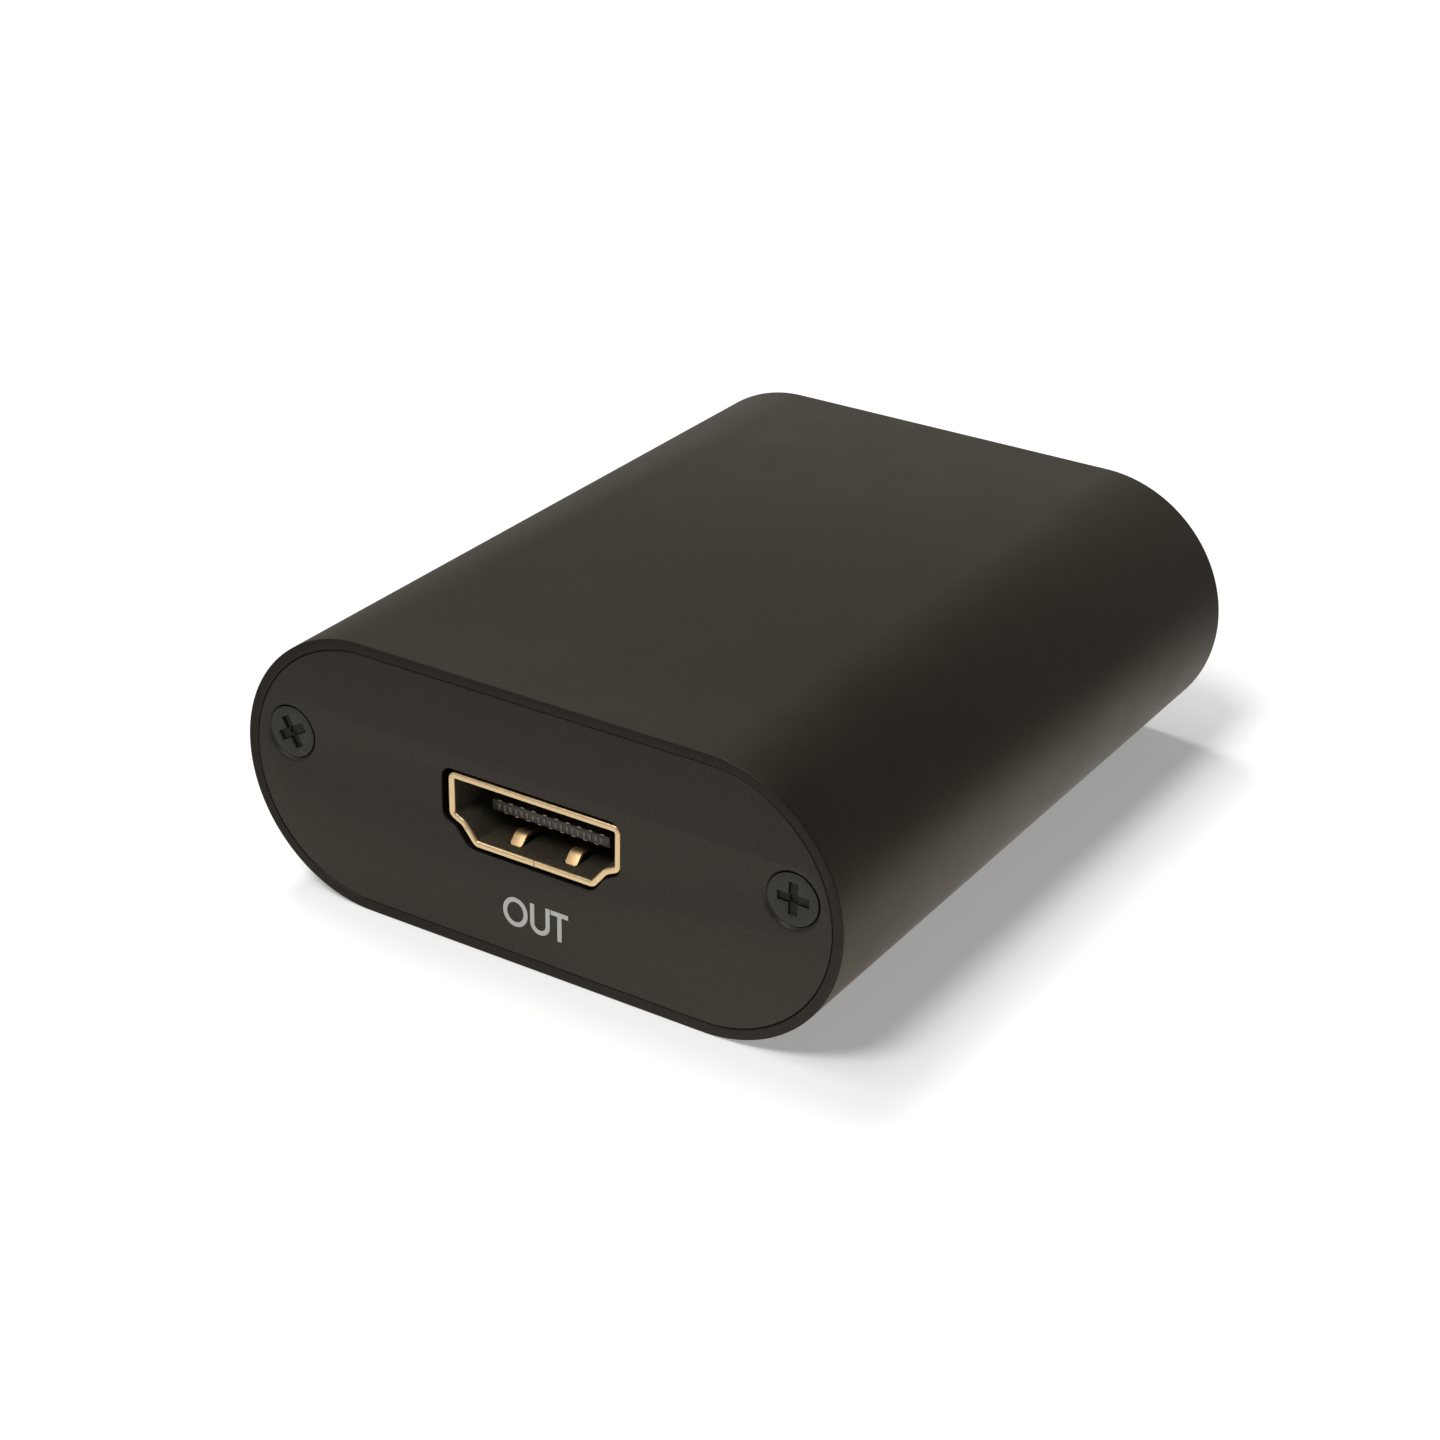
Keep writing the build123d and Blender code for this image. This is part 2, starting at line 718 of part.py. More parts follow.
with BuildPart() as filter_capacitor_bases:
    with BuildSketch(*[on_board(*place) for place in capacitor_places]):
        Rectangle(capacitor_base, capacitor_base)
    extrude(amount=capacitor_base_height)
filter_capacitor_bases.part.label = "filter_capacitor_bases"
export_step(filter_capacitor_bases.part, "parts/filter_capacitor_bases.step")

with BuildPart() as filter_capacitors:
    with BuildSketch(*[on_board(*place, capacitor_base_height) for place in capacitor_places]):
        Circle(capacitor_radius)
    extrude(amount=capacitor_height)
    fillet(filter_capacitors.edges().group_by(Axis.Z)[-1], capacitor_round)
filter_capacitors.part.label = "filter_capacitors"
export_step(filter_capacitors.part, "parts/filter_capacitors.step")

with BuildPart() as protection_diode:
    with BuildSketch(on_board(-column_x, diode_y)):
        Rectangle(diode_size[0], diode_size[1])
    extrude(amount=diode_size[2])
protection_diode.part.label = "protection_diode"
export_step(protection_diode.part, "parts/protection_diode.step")

with BuildPart() as ceramic_capacitors:
    with BuildSketch(on_board(*chip_place)):
        with GridLocations(ceramic_pitch, ceramic_row_gap, ceramic_columns, 2):
            Rectangle(ceramic_size[0], ceramic_size[1])
    extrude(amount=ceramic_size[2])
ceramic_capacitors.part.label = "ceramic_capacitors"
export_step(ceramic_capacitors.part, "parts/ceramic_capacitors.step")

with BuildPart() as resistors:
    with BuildSketch(on_board(column_x, resistor_y)):
        with GridLocations(*resistor_pitch, resistor_columns, resistor_rows):
            Rectangle(resistor_size[0], resistor_size[1])
    extrude(amount=resistor_size[2])
resistors.part.label = "resistors"
export_step(resistors.part, "parts/resistors.step")

surge_x = opening_width / 2 + shell_wall + surge_gap + surge_size[0] / 2
with BuildPart() as surge_arrays:
    for end in (front_end, rear_end):
        end_side = end.x_dir.X
        lip_y = end.origin.Y - end.z_dir.Y * socket_setback
        for depth in surge_depths:
            with BuildSketch(on_board(-end_side * surge_x, lip_y - end.z_dir.Y * depth)):
                Rectangle(surge_size[0], surge_size[1])
            extrude(amount=surge_size[2])
surge_arrays.part.label = "surge_arrays"
export_step(surge_arrays.part, "parts/surge_arrays.step")
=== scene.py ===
"""Small black aluminium video converter box, dressed over its CAD frame."""

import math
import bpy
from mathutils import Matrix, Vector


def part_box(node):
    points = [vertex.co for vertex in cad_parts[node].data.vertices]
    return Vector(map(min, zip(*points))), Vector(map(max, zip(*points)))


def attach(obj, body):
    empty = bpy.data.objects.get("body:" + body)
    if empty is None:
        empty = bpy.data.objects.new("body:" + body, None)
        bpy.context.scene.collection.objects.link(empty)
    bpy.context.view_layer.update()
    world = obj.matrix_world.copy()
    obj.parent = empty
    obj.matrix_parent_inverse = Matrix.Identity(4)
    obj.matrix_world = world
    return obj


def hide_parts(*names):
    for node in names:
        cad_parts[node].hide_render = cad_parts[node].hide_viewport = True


bl_info = {
    "name": "Video converter box",
    "version": (1, 0, 0),
    "blender": (4, 5, 0),
    "location": "View3D > Sidebar > Converter",
    "description": "Builds a small video converter in an extruded aluminium case",
    "category": "Object",
}

import bmesh
import bpy
from mathutils import Euler, Matrix, Vector

MM = 0.001
# vertices closer than this are one, and a point this near to a level lies on it
MERGE = 0.0008 * MM
ON_LEVEL = 0.004 * MM
# how far a cutter reaches past what it cuts
PAST = 1 * MM
# a socket's opening is twice as high as this, in millimetres; then its lip's width and its wall
OPENING_HALF = 2.275
LIP = 0.55
SHELL_WALL = 0.35

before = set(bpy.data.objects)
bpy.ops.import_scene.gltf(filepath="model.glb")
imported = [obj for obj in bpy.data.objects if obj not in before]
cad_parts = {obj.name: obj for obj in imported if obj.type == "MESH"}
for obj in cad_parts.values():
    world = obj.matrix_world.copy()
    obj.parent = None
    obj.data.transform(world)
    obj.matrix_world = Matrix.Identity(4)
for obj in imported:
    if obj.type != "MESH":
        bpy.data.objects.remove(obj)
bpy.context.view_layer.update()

# Places that the CAD frame gives
case_low, case_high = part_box("case_sleeve")
board_low, board_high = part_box("circuit_board")
shell_low, shell_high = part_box("output_socket_shell")
pin_low, pin_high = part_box("power_jack_pin")
housing_low, housing_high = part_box("power_jack_housing")
light_low, light_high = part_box("status_light")


# Sizes and colours that a user would change

def length(name, description, default_mm):
    """A size of the panel, given here in millimetres."""
    return bpy.props.FloatProperty(
        name=name, description=description, default=default_mm * MM, min=0, unit="LENGTH", precision=4
    )


def linear(code):
    """A colour written as sRGB hex, as the linear values that shaders take."""
    values = []
    for start in (1, 3, 5):
        c = int(code[start : start + 2], 16) / 255
        values.append(c / 12.92 if c <= 0.04045 else ((c + 0.055) / 1.055) ** 2.4)
    return tuple(values)


def colour(name, description, code):
    """A colour of the panel, given here as sRGB hex."""
    return bpy.props.FloatVectorProperty(
        name=name, description=description, default=linear(code), min=0, max=1, size=3, subtype="COLOR"
    )


class ConverterCaseSizes(bpy.types.PropertyGroup):
    """Sizes of the extruded case and its end plates."""

    rim: length("Rim", "Wall left round each end plate", 0.86)
    wall: length("Wall", "Wall of the extrusion", 1.4)
    plate_gap: length("Plate gap", "Gap between a plate and the rim round it", 0.02)
    plate_set: length("Plate setback", "How far a plate's face lies behind the rim", 0.02)
    plate_round: length("Plate edge rounding", "Rounding of a plate's outer edge", 0.12)
    plate_thickness: length("Plate thickness", "Thickness of each end plate", 1.5)
    pocket: length("Pocket", "Depth of the step that a plate lies on", 1.52)
    edge_round: length("Edge rounding", "Rounding of the rims and of the plates' holes", 0.11)
    rib: length("Rib", "Thickness of the ribs below the board", 1.2)
    grip: length("Rib reach", "How far the ribs reach over the board's edges", 1.5)
    boss: length("Screw boss radius", "Radius of the bosses that take the screws", 2.7)
    channel: length("Screw channel radius", "Radius of the channels in the bosses", 1.28)


class ConverterScrewSizes(bpy.types.PropertyGroup):
    """Sizes of the countersunk plate screws."""

    spread: length("Spread", "Distance between the two screws of a plate", 43.7)
    height: length("Height", "Height of the screws above the floor", 13.1)
    head: length("Head radius", "Radius of the head", 2.1)
    sunk: length("Head setback", "How far the head lies behind the plate's face", 0.14)
    mouth: length("Countersink radius", "Radius of the countersink's mouth", 2.34)
    shank: length("Shank radius", "Radius of the thread", 1.25)
    reach: length("Length", "Length over all", 8.0)
    cross: length("Recess width", "Width of the cross recess over its arms", 2.75)
    arm: length("Recess arm", "Thickness of the arms at the face", 0.78)
    depth: length("Recess depth", "Depth of the cross recess", 0.2)


class ConverterSocketSizes(bpy.types.PropertyGroup):
    """Sizes of the video sockets."""

    lip: length("Lip", "Width of the rolled lip", LIP)
    lip_depth: length("Lip depth", "Depth of the rolled lip", 0.8)
    wall: length("Wall", "Thickness of the shell", SHELL_WALL)
    depth: length("Depth", "Depth of the shell", 11.9)
    hole_gap: length("Hole gap", "Gap between the lip and the plate's hole", 0.27)
    tongue: length("Tongue width", "Width of the contact tongue", 10.4)
    tongue_height: length("Tongue height", "Thickness of the contact tongue", 0.95)
    tongue_front: length("Tongue setback", "Depth of the tongue's front", 2.14)
    tongue_drop: length("Tongue drop", "How far the tongue lies below the opening's middle", 0.15)


class ConverterColours(bpy.types.PropertyGroup):
    """Colours of the visible finishes."""

    case: colour("Case", "Dyed anodic film on the case", "#3b3730")
    plate: colour("Plates", "Dyed anodic film on the end plates", "#36332e")
    # painted shade: the rims get a darker film than the case, for the shade along the plates' edges
    rim: colour("Rims", "Dyed anodic film on the case's sawn ends", "#2e2b27")
    sheen: colour("Sheen", "How much light the film gives back at a glancing angle", "#dfdbd6")
    screw: colour("Screws", "Black oxide on the screws", "#34322f")
    gold: colour("Sockets", "Gold flash on the socket shells", "#ccb28a")
    legend: colour("Legends", "Printing ink of the legends", "#c8c5be")
    floor: colour("Floor", "Floor and backdrop", "#fafafa")


# Materials

def add_node(tree, kind, links=None, **settings):
    """Adds a node: settings name its attributes or sockets, links join its sockets to outputs."""
    node = tree.nodes.new(kind)
    for key, value in settings.items():
        if key.startswith("at_"):
            node.inputs[int(key[3:])].default_value = value
        elif hasattr(node, key):
            setattr(node, key, value)
        else:
            node.inputs[key.replace("_", " ").title()].default_value = value
    for socket, output in (links or {}).items():
        tree.links.new(output, node.inputs[socket])
    return node


def combine(tree, operation, first, second):
    """One value worked out from two."""
    return add_node(tree, "ShaderNodeMath", {0: first, 1: second}, operation=operation).outputs["Value"]


def ramp(tree, value, start, end, low=0.0, high=1.0):
    """Goes from low to high while a value goes from start to end, and stays there outside them."""
    levels = {"at_1": start, "at_2": end, "at_3": low, "at_4": high}
    return add_node(tree, "ShaderNodeMapRange", {"Value": value}, **levels).outputs["Result"]


def noise(tree, place, grain_mm, detail, roughness=0.5):
    """A soft noise with a grain of the given size."""
    scale = 1 / (grain_mm * MM)
    node = add_node(
        tree, "ShaderNodeTexNoise", {"Vector": place}, scale=scale, detail=detail, roughness=roughness
    )
    return node.outputs["Fac"]


def swing(tree, pattern, low, high):
    """A noise, which hardly leaves 0.3 to 0.7, stretched to go from low to high."""
    return ramp(tree, pattern, 0.3, 0.7, low, high)


def scaled(tree, film, share):
    """A colour times a value."""
    node = add_node(tree, "ShaderNodeVectorMath", {3: share}, operation="SCALE", at_0=tuple(film))
    return node.outputs["Vector"]


def new_material(name):
    """A material with a Principled shader, and the Object coordinates that its patterns lie in."""
    material = bpy.data.materials.new(name)
    material.use_nodes = True
    tree = material.node_tree
    shader = tree.nodes["Principled BSDF"]
    place = add_node(tree, "ShaderNodeTexCoord").outputs["Object"]
    return material, tree, shader, place


def emboss(tree, shader, relief, strength, depth_mm):
    """Gives a shader a relief as its bump."""
    depth = depth_mm * MM
    bump = add_node(tree, "ShaderNodeBump", {"Height": relief}, strength=strength, distance=depth)
    tree.links.new(bump.outputs["Normal"], shader.inputs["Normal"])


def coat(tree, shader, film, share, rough, relief, strength, depth_mm, metallic=1.0):
    """Gives a shader a colour times a share, a roughness, a relief and how metallic it is."""
    shader.inputs["Metallic"].default_value = metallic
    tree.links.new(scaled(tree, film, share), shader.inputs["Base Color"])
    tree.links.new(rough, shader.inputs["Roughness"])
    emboss(tree, shader, relief, strength, depth_mm)


def blasted_film(name, film, edge, grit_mm, roughness, depth_mm):
    """Fine bead blasted aluminium under a dyed, sealed anodic film: nearly black, a soft sheen that the
    porous film keeps weak and warm at a glancing angle, and a grain a little coarser than the real
    0.1 mm grit, so that it still shows in a render."""
    material, tree, shader, place = new_material(name)
    grit = noise(tree, place, grit_mm, 2.0, 0.55)
    cloud = noise(tree, place, 6, 3.0, 0.6)
    share = combine(tree, "MULTIPLY", swing(tree, cloud, 0.95, 1.05), swing(tree, grit, 0.9, 1.1))
    rough = swing(tree, cloud, roughness - 0.03, roughness + 0.03)
    coat(tree, shader, film, share, rough, grit, 0.35, depth_mm)
    shader.inputs["Specular Tint"].default_value = (*edge, 1)
    return material


def oxide_steel(film):
    """Turned steel with a black oxide: as dark as the case and nearly as dull, with a fine uneven grain
    that lightens where it is rougher."""
    material, tree, shader, place = new_material("black_oxide_steel")
    grain = noise(tree, place, 0.3, 3.0, 0.6)
    rough = swing(tree, grain, 0.4, 0.52)
    coat(tree, shader, [2.4 * c for c in film], rough, rough, grain, 0.2, 0.02)
    return material


def gold_flash(film):
    """Gold flash over satin nickel on a drawn shell: pale champagne, with faint drawing marks."""
    material, tree, shader, place = new_material("gold_flash")
    drawn = add_node(tree, "ShaderNodeMapping", {"Vector": place}, scale=(1.0, 0.08, 1.0))
    marks = noise(tree, drawn.outputs["Vector"], 0.25, 2.0)
    share, rough = swing(tree, marks, 0.94, 1.04), swing(tree, marks, 0.32, 0.42)
    coat(tree, shader, film, share, rough, marks, 0.15, 0.01)
    return material


def plain_finish(name, film, grain_mm, roughness, metallic=0.0, ior=1.5, spread=0.12):
    """A plain moulded, plated or ceramic finish: one colour, as sRGB hex or from the panel, that a fine
    noise breaks up a little."""
    material, tree, shader, place = new_material(name)
    grain = noise(tree, place, grain_mm, 3.0, 0.6)
    share = swing(tree, grain, 1 - spread, 1 + spread)
    rough = swing(tree, grain, roughness - 0.05, roughness + 0.05)
    if isinstance(film, str):
        film = linear(film)
    coat(tree, shader, film, share, rough, grain, 0.3, 0.01, metallic)
    shader.inputs["IOR"].default_value = ior
    return material


def solder_mask():
    """Green solder mask over copper tracks on glass laminate: glossy, with lighter green tracks."""
    material, tree, shader, place = new_material("solder_mask")
    tracks = add_node(
        tree,
        "ShaderNodeTexBrick",
        {"Vector": place},
        scale=1 / (1.6 * MM),
        mortar_size=0.12,
        color1=(*linear("#0d3a22"), 1),
        color2=(*linear("#0f4126"), 1),
        mortar=(*linear("#1c5c36"), 1),
    )
    tree.links.new(tracks.outputs["Color"], shader.inputs["Base Color"])
    emboss(tree, shader, tracks.outputs["Fac"], 0.3, 0.03)
    shader.inputs["Roughness"].default_value = 0.3
    shader.inputs["IOR"].default_value = 1.55
    return material


def tinted_epoxy():
    """Clear epoxy of a small lamp with a green tint: lets light through and blurs it a little."""
    material, tree, shader, place = new_material("tinted_epoxy")
    haze = noise(tree, place, 1.2, 2.0)
    tree.links.new(swing(tree, haze, 0.08, 0.2), shader.inputs["Roughness"])
    shader.inputs["Base Color"].default_value = (*linear("#8fd39a"), 1)
    shader.inputs["Transmission Weight"].default_value = 0.7
    shader.inputs["IOR"].default_value = 1.54
    return material


materials = {}


def make_materials(colours):
    """Makes every finish once."""
    sheen = colours.sheen
    materials.update(
        case=blasted_film("blasted_black_anodised_case", colours.case, sheen, 0.16, 0.45, 0.02),
        plate=blasted_film("blasted_black_anodised_plate", colours.plate, sheen, 0.14, 0.48, 0.015),
        # painted shade: a darker film and a weaker sheen for the case's ends and their roundings
        rim=blasted_film("black_anodised_rim_painted_shade", colours.rim, linear("#bebab5"), 0.14, 0.48, 0.015),
        screw=oxide_steel(colours.screw),
        # painted shade: the cross recess gets a darker black oxide than the head
        recess=plain_finish("black_oxide_painted_recess_shade", "#272521", 0.2, 0.5, metallic=1.0, spread=0.2),
        gold=gold_flash(colours.gold),
        insulator=plain_finish("moulded_black_polymer", "#2e2a25", 0.2, 0.5, ior=1.6),
        contact=plain_finish("worn_contact_gold", "#b59f74", 0.15, 0.35, metallic=1.0),
        tip=plain_finish("dull_contact_tip", "#756c5f", 0.12, 0.55, metallic=1.0, spread=0.3),
        # partly duller plating and partly painted shade: a dark brown for the bore's walls and the
        # fingers' feet deep in the socket
        bore=plain_finish("dull_bore_painted_shade", "#4e483b", 0.3, 0.5, metallic=0.4, spread=0.25),
        spring=plain_finish("burnished_spring_gold", "#d6b486", 0.12, 0.5, metallic=1.0, spread=0.1),
        jack=plain_finish("moulded_black_polyester", "#131313", 0.3, 0.38, ior=1.57),
        tin=plain_finish("tinned_copper", "#c3c3bf", 0.2, 0.3, metallic=1.0),
        mask=solder_mask(),
        chip=plain_finish("moulded_chip_epoxy", "#1d1d1f", 0.15, 0.6, ior=1.55),
        pad=plain_finish("filled_silicone", "#8ea0a8", 0.4, 0.7, ior=1.45),
        sink=plain_finish("black_anodised_fins", "#2a2a2b", 0.2, 0.45, metallic=1.0),
        can=plain_finish("drawn_aluminium_can", "#c9cacc", 0.3, 0.25, metallic=1.0, spread=0.05),
        ferrite=plain_finish("pressed_ferrite", "#35363a", 0.2, 0.55, ior=1.7),
        ceramic=plain_finish("fired_ceramic", "#a58b63", 0.15, 0.45, ior=1.7),
        light=tinted_epoxy(),
        legend=plain_finish("printing_ink", colours.legend, 0.12, 0.55, spread=0.06),
    )


# CAD nodes that stay as they are, by finish
finished_nodes = {
    "mask": ["circuit_board"],
    "contact": ["output_socket_contacts", "input_socket_contacts"],
    "tin": [
        "power_jack_strips",
        "status_light_leads",
        "converter_chip_leads",
        "program_memory_leads",
        "voltage_regulator_leads",
    ],
    "chip": [
        "converter_chip",
        "frame_memory",
        "program_memory",
        "voltage_regulator",
        "protection_diode",
        "resistors",
        "surge_arrays",
    ],
    "pad": ["thermal_pad"],
    "sink": ["heat_sink"],
    "can": ["clock_crystal", "filter_capacitors"],
    "ferrite": ["power_inductor"],
    "jack": ["filter_capacitor_bases"],
    "ceramic": ["ceramic_capacitors"],
}


# Modelling helpers

def nothing_selected():
    """Back to object mode with nothing selected."""
    if bpy.context.mode != "OBJECT":
        bpy.ops.object.mode_set(mode="OBJECT")
    bpy.ops.object.select_all(action="DESELECT")


def only(piece):
    """Selects one piece and makes it active."""
    nothing_selected()
    piece.select_set(True)
    bpy.context.view_layer.objects.active = piece


def into_edit(piece):
    """Opens a piece in edit mode with everything in it selected."""
    only(piece)
    bpy.ops.object.mode_set(mode="EDIT")
    bpy.ops.mesh.select_all(action="SELECT")


def pick(kind, test):
    """In edit mode, selects just the vertices, edges or faces that pass the test."""
    bpy.ops.mesh.select_all(action="DESELECT")
    bpy.ops.mesh.select_mode(type=kind)
    mesh = bpy.context.edit_object.data
    shape = bmesh.from_edit_mesh(mesh)
    shape.normal_update()
    for item in {"VERT": shape.verts, "EDGE": shape.edges, "FACE": shape.faces}[kind]:
        item.select_set(bool(test(item)))
    shape.select_flush_mode()
    bmesh.update_edit_mesh(mesh)


def middle(item):
    """Middle of an edge or face."""
    return sum((v.co for v in item.verts), Vector()) / len(item.verts)


def flat_at(item, axis, level):
    """Whether an edge or face lies wholly at one level of an axis."""
    return all(abs(v.co[axis] - level) < ON_LEVEL for v in item.verts)


def rim_at(edge, level):
    """Whether an edge bounds a flat end at a level of Y, so not one that only divides that end."""
    return flat_at(edge, 1, level) and any(abs(f.normal.y) < 0.9 for f in edge.link_faces)


def push(y, z=0.0):
    """Extrudes what is selected."""
    bpy.ops.mesh.extrude_region_move(TRANSFORM_OT_translate={"value": (0, y, z)})


def outwards():
    """In edit mode, points all faces outwards."""
    bpy.ops.mesh.select_all(action="SELECT")
    bpy.ops.mesh.normals_make_consistent(inside=False)


def round_edges(piece, test, offset, segments, merge=False):
    """Rounds the edges of a piece that pass the test, after merging doubles if asked."""
    into_edit(piece)
    if merge:
        bpy.ops.mesh.remove_doubles(threshold=MERGE)
    pick("EDGE", test)
    bpy.ops.mesh.bevel(offset=offset, segments=segments, affect="EDGES")
    nothing_selected()


def close_up(piece, smooth_deg=32):
    """Merges doubles, points the faces outwards and shades by angle."""
    into_edit(piece)
    bpy.ops.mesh.remove_doubles(threshold=MERGE)
    outwards()
    only(piece)
    bpy.ops.object.shade_smooth_by_angle(angle=math.radians(smooth_deg))
    return piece


def renamed(name, scale=None):
    """The active object under its own name, stretched if asked, with its place moved into its mesh."""
    piece = bpy.context.active_object
    if scale:
        piece.scale = scale
    piece.name = name
    piece.data.name = name
    bpy.ops.object.transform_apply(location=True, rotation=True, scale=True)
    return piece


def apply_modifier(piece, kind, **settings):
    """Adds a modifier with the given settings and applies it."""
    only(piece)
    modifier = piece.modifiers.new(kind.lower(), kind)
    for key, value in settings.items():
        setattr(modifier, key, value)
    bpy.ops.object.modifier_apply(modifier=modifier.name)


def merge_solids(piece, others, operation):
    """Joins, cuts or intersects a piece with other solids, which are then removed."""
    for other in others:
        apply_modifier(piece, "BOOLEAN", operation=operation, solver="EXACT", object=other)
        bpy.data.objects.remove(other)
    return piece


def joined(name, pieces):
    """Several meshes as one object."""
    nothing_selected()
    for piece in pieces:
        piece.select_set(True)
    bpy.context.view_layer.objects.active = pieces[0]
    bpy.ops.object.join()
    return renamed(name)


def copy_of(piece, name, turn=(0.0, 0.0, 0.0), shift=(0.0, 0.0, 0.0)):
    """A copy with its own mesh, turned about the zero point and then shifted."""
    only(piece)
    bpy.ops.object.duplicate()
    twin = bpy.context.active_object
    twin.data.transform(Matrix.Translation(shift) @ Euler(turn).to_matrix().to_4x4())
    return renamed(name)


def dress(piece, finish, slot, *nodes):
    """Gives a piece its finish, and lets it ride on the body in place of its CAD nodes."""
    piece.data.materials.clear()
    piece.data.materials.append(materials[finish])
    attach(piece, "root")
    if nodes:
        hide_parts(*nodes)
    return piece


def second_finish(piece, finish, test):
    """Gives the faces that pass the test a finish of their own."""
    slot = len(piece.data.materials)
    piece.data.materials.append(materials[finish])
    for face in piece.data.polygons:
        if test(face):
            face.material_index = slot


def round_face(name, vertices, radius, y, z, twist=0.0):
    """A flat round face that looks along Y, for a bar to start from."""
    bpy.ops.mesh.primitive_circle_add(
        vertices=vertices,
        radius=radius,
        fill_type="NGON",
        location=(0, y, z),
        rotation=(math.pi / 2, twist, 0),
    )
    return renamed(name)


def stadium(name, width, height, start, end):
    """A solid bar along Y with flat top and bottom and half round sides."""
    steps = 96
    bar = round_face(name, 2 * steps, height / 2, start, case_high.z / 2, math.pi / (2 * steps))
    into_edit(bar)
    for side in (-1, 1):
        pick("VERT", lambda v: v.co.x * side > 0)
        bpy.ops.transform.translate(value=(side * (width - height) / 2, 0, 0))
    bpy.ops.mesh.select_all(action="SELECT")
    push(end - start)
    outwards()
    nothing_selected()
    return bar


def rod(name, radius, start, end, x, z, tip_radius=None, vertices=64):
    """A round bar or cone along Y; tip_radius is the radius at its end."""
    bpy.ops.mesh.primitive_cone_add(
        vertices=vertices,
        radius1=radius,
        radius2=radius if tip_radius is None else tip_radius,
        depth=abs(end - start),
        location=(x, (start + end) / 2, z),
        rotation=(-math.pi / 2 if end > start else math.pi / 2, 0, 0),
    )
    return renamed(name)


def block(name, low, high):
    """A block between two corners."""
    bpy.ops.mesh.primitive_cube_add(
        size=1,
        location=[(a + b) / 2 for a, b in zip(low, high)],
        scale=[b - a for a, b in zip(low, high)],
    )
    return renamed(name)


def d_block(name, start, end, z, growth=0.0):
    """A bar along Y with the section of the socket's D-shaped opening, grown outwards by growth."""
    half, top, side, floor = 7.0 * MM, OPENING_HALF * MM, -0.5 * MM, 5.0 * MM
    hollow_x, hollow_z = 6.05 * MM, -0.95 * MM
    corners = [(-half, top), (-half, side), (-hollow_x, hollow_z), (-floor, -top)]
    corners += [(-a, b) for a, b in reversed(corners)]
    bar = round_face(name, len(corners), top, start, z)
    for vertex, (x, rise) in zip(bar.data.vertices, corners):
        vertex.co = (x, start, z + rise)
    into_edit(bar)
    # the six outward corners are rounded less than the two hollow ones
    pick("VERT", lambda v: abs(abs(v.co.x) - hollow_x) > 0.01 * MM)
    bpy.ops.mesh.bevel(offset=0.12 * MM, segments=4, affect="VERTICES")
    pick("VERT", lambda v: abs(abs(v.co.x) - hollow_x) < 0.002 * MM)
    bpy.ops.mesh.bevel(offset=0.3 * MM, segments=5, affect="VERTICES")
    bpy.ops.mesh.select_all(action="SELECT")
    push(end - start)
    outwards()
    if growth:
        pick("FACE", lambda f: abs(f.normal.y) < 0.5)
        bpy.ops.transform.shrink_fatten(value=growth, use_even_offset=True)
    nothing_selected()
    return bar


# Levels that the pieces share, all from the CAD frame
front, rear = case_low.y, case_high.y
mid_z = case_high.z / 2
socket_x = (shell_low.x + shell_high.x) / 2
mouth = shell_low.y
socket_z = shell_high.z - LIP * MM - OPENING_HALF * MM
jack_x = (pin_low.x + pin_high.x) / 2
jack_z = (pin_low.z + pin_high.z) / 2
light_x = (light_low.x + light_high.x) / 2
light_z = (light_low.z + light_high.z) / 2


class CONVERTER_OT_case(bpy.types.Operator):
    """Extruded case with its rims, board slots and screw bosses"""

    bl_idname = "converter.case"
    bl_label = "Extruded case"

    def execute(self, context):
        sizes = context.scene.converter_case
        screws = context.scene.converter_screws
        width, height = case_high.x - case_low.x, case_high.z
        case = stadium("extruded_case", width, height, front, rear)
        into_edit(case)
        pick("FACE", lambda f: abs(f.normal.y) > 0.9)
        bpy.ops.mesh.inset(thickness=sizes.rim)
        for end, way in ((front, 1), (rear, -1)):
            pick("FACE", lambda f: flat_at(f, 1, end) and len(f.verts) > 8)
            push(way * sizes.pocket)
        pick("FACE", lambda f: abs(f.normal.y) > 0.9 and len(f.verts) > 8)
        bpy.ops.mesh.inset(thickness=sizes.wall - sizes.rim)
        pick("FACE", lambda f: len(f.verts) > 8)
        bpy.ops.mesh.bridge_edge_loops()
        pick("EDGE", lambda e: rim_at(e, front) or rim_at(e, rear))
        bpy.ops.mesh.bevel(offset=sizes.edge_round, segments=3, affect="EDGES")
        nothing_selected()

        # bosses and ribs run between the pockets, and end inside the wall
        start, end = front + sizes.pocket, rear - sizes.pocket
        inside = stadium("inside", width - sizes.wall, height - sizes.wall, start, end)
        clear = 0.1 * MM
        grip_x = board_high.x - (board_high.x + board_low.x) / 2 - sizes.grip
        for side in (-1, 1):
            boss_x = side * screws.spread / 2
            boss = rod("boss", sizes.boss, start, end, boss_x, screws.height)
            near, far = sorted((side * grip_x, side * width / 2))
            upper = block("upper_rib", (near, start, board_high.z + clear), (far, end, screws.height))
            under = board_low.z - clear
            lower = block("lower_rib", (near, start, under - sizes.rib), (far, end, under))
            merge_solids(boss, [upper, lower], "UNION")
            merge_solids(boss, [copy_of(inside, "trim")], "INTERSECT")
            merge_solids(case, [boss], "UNION")
            channel = rod("channel", sizes.channel, start - PAST, end + PAST, boss_x, screws.height)
            merge_solids(case, [channel], "DIFFERENCE")
        bpy.data.objects.remove(inside)
        dress(close_up(case), "case", "case_metal", "case_sleeve")
        # painted shade: the ends' faces and roundings get the darker rim film, which also dulls their
        # edge highlight
        shaded = rear - 0.2 * MM
        second_finish(case, "rim", lambda f: abs(f.normal.y) > 0.2 and abs(f.center.y) > shaded)
        return {"FINISHED"}


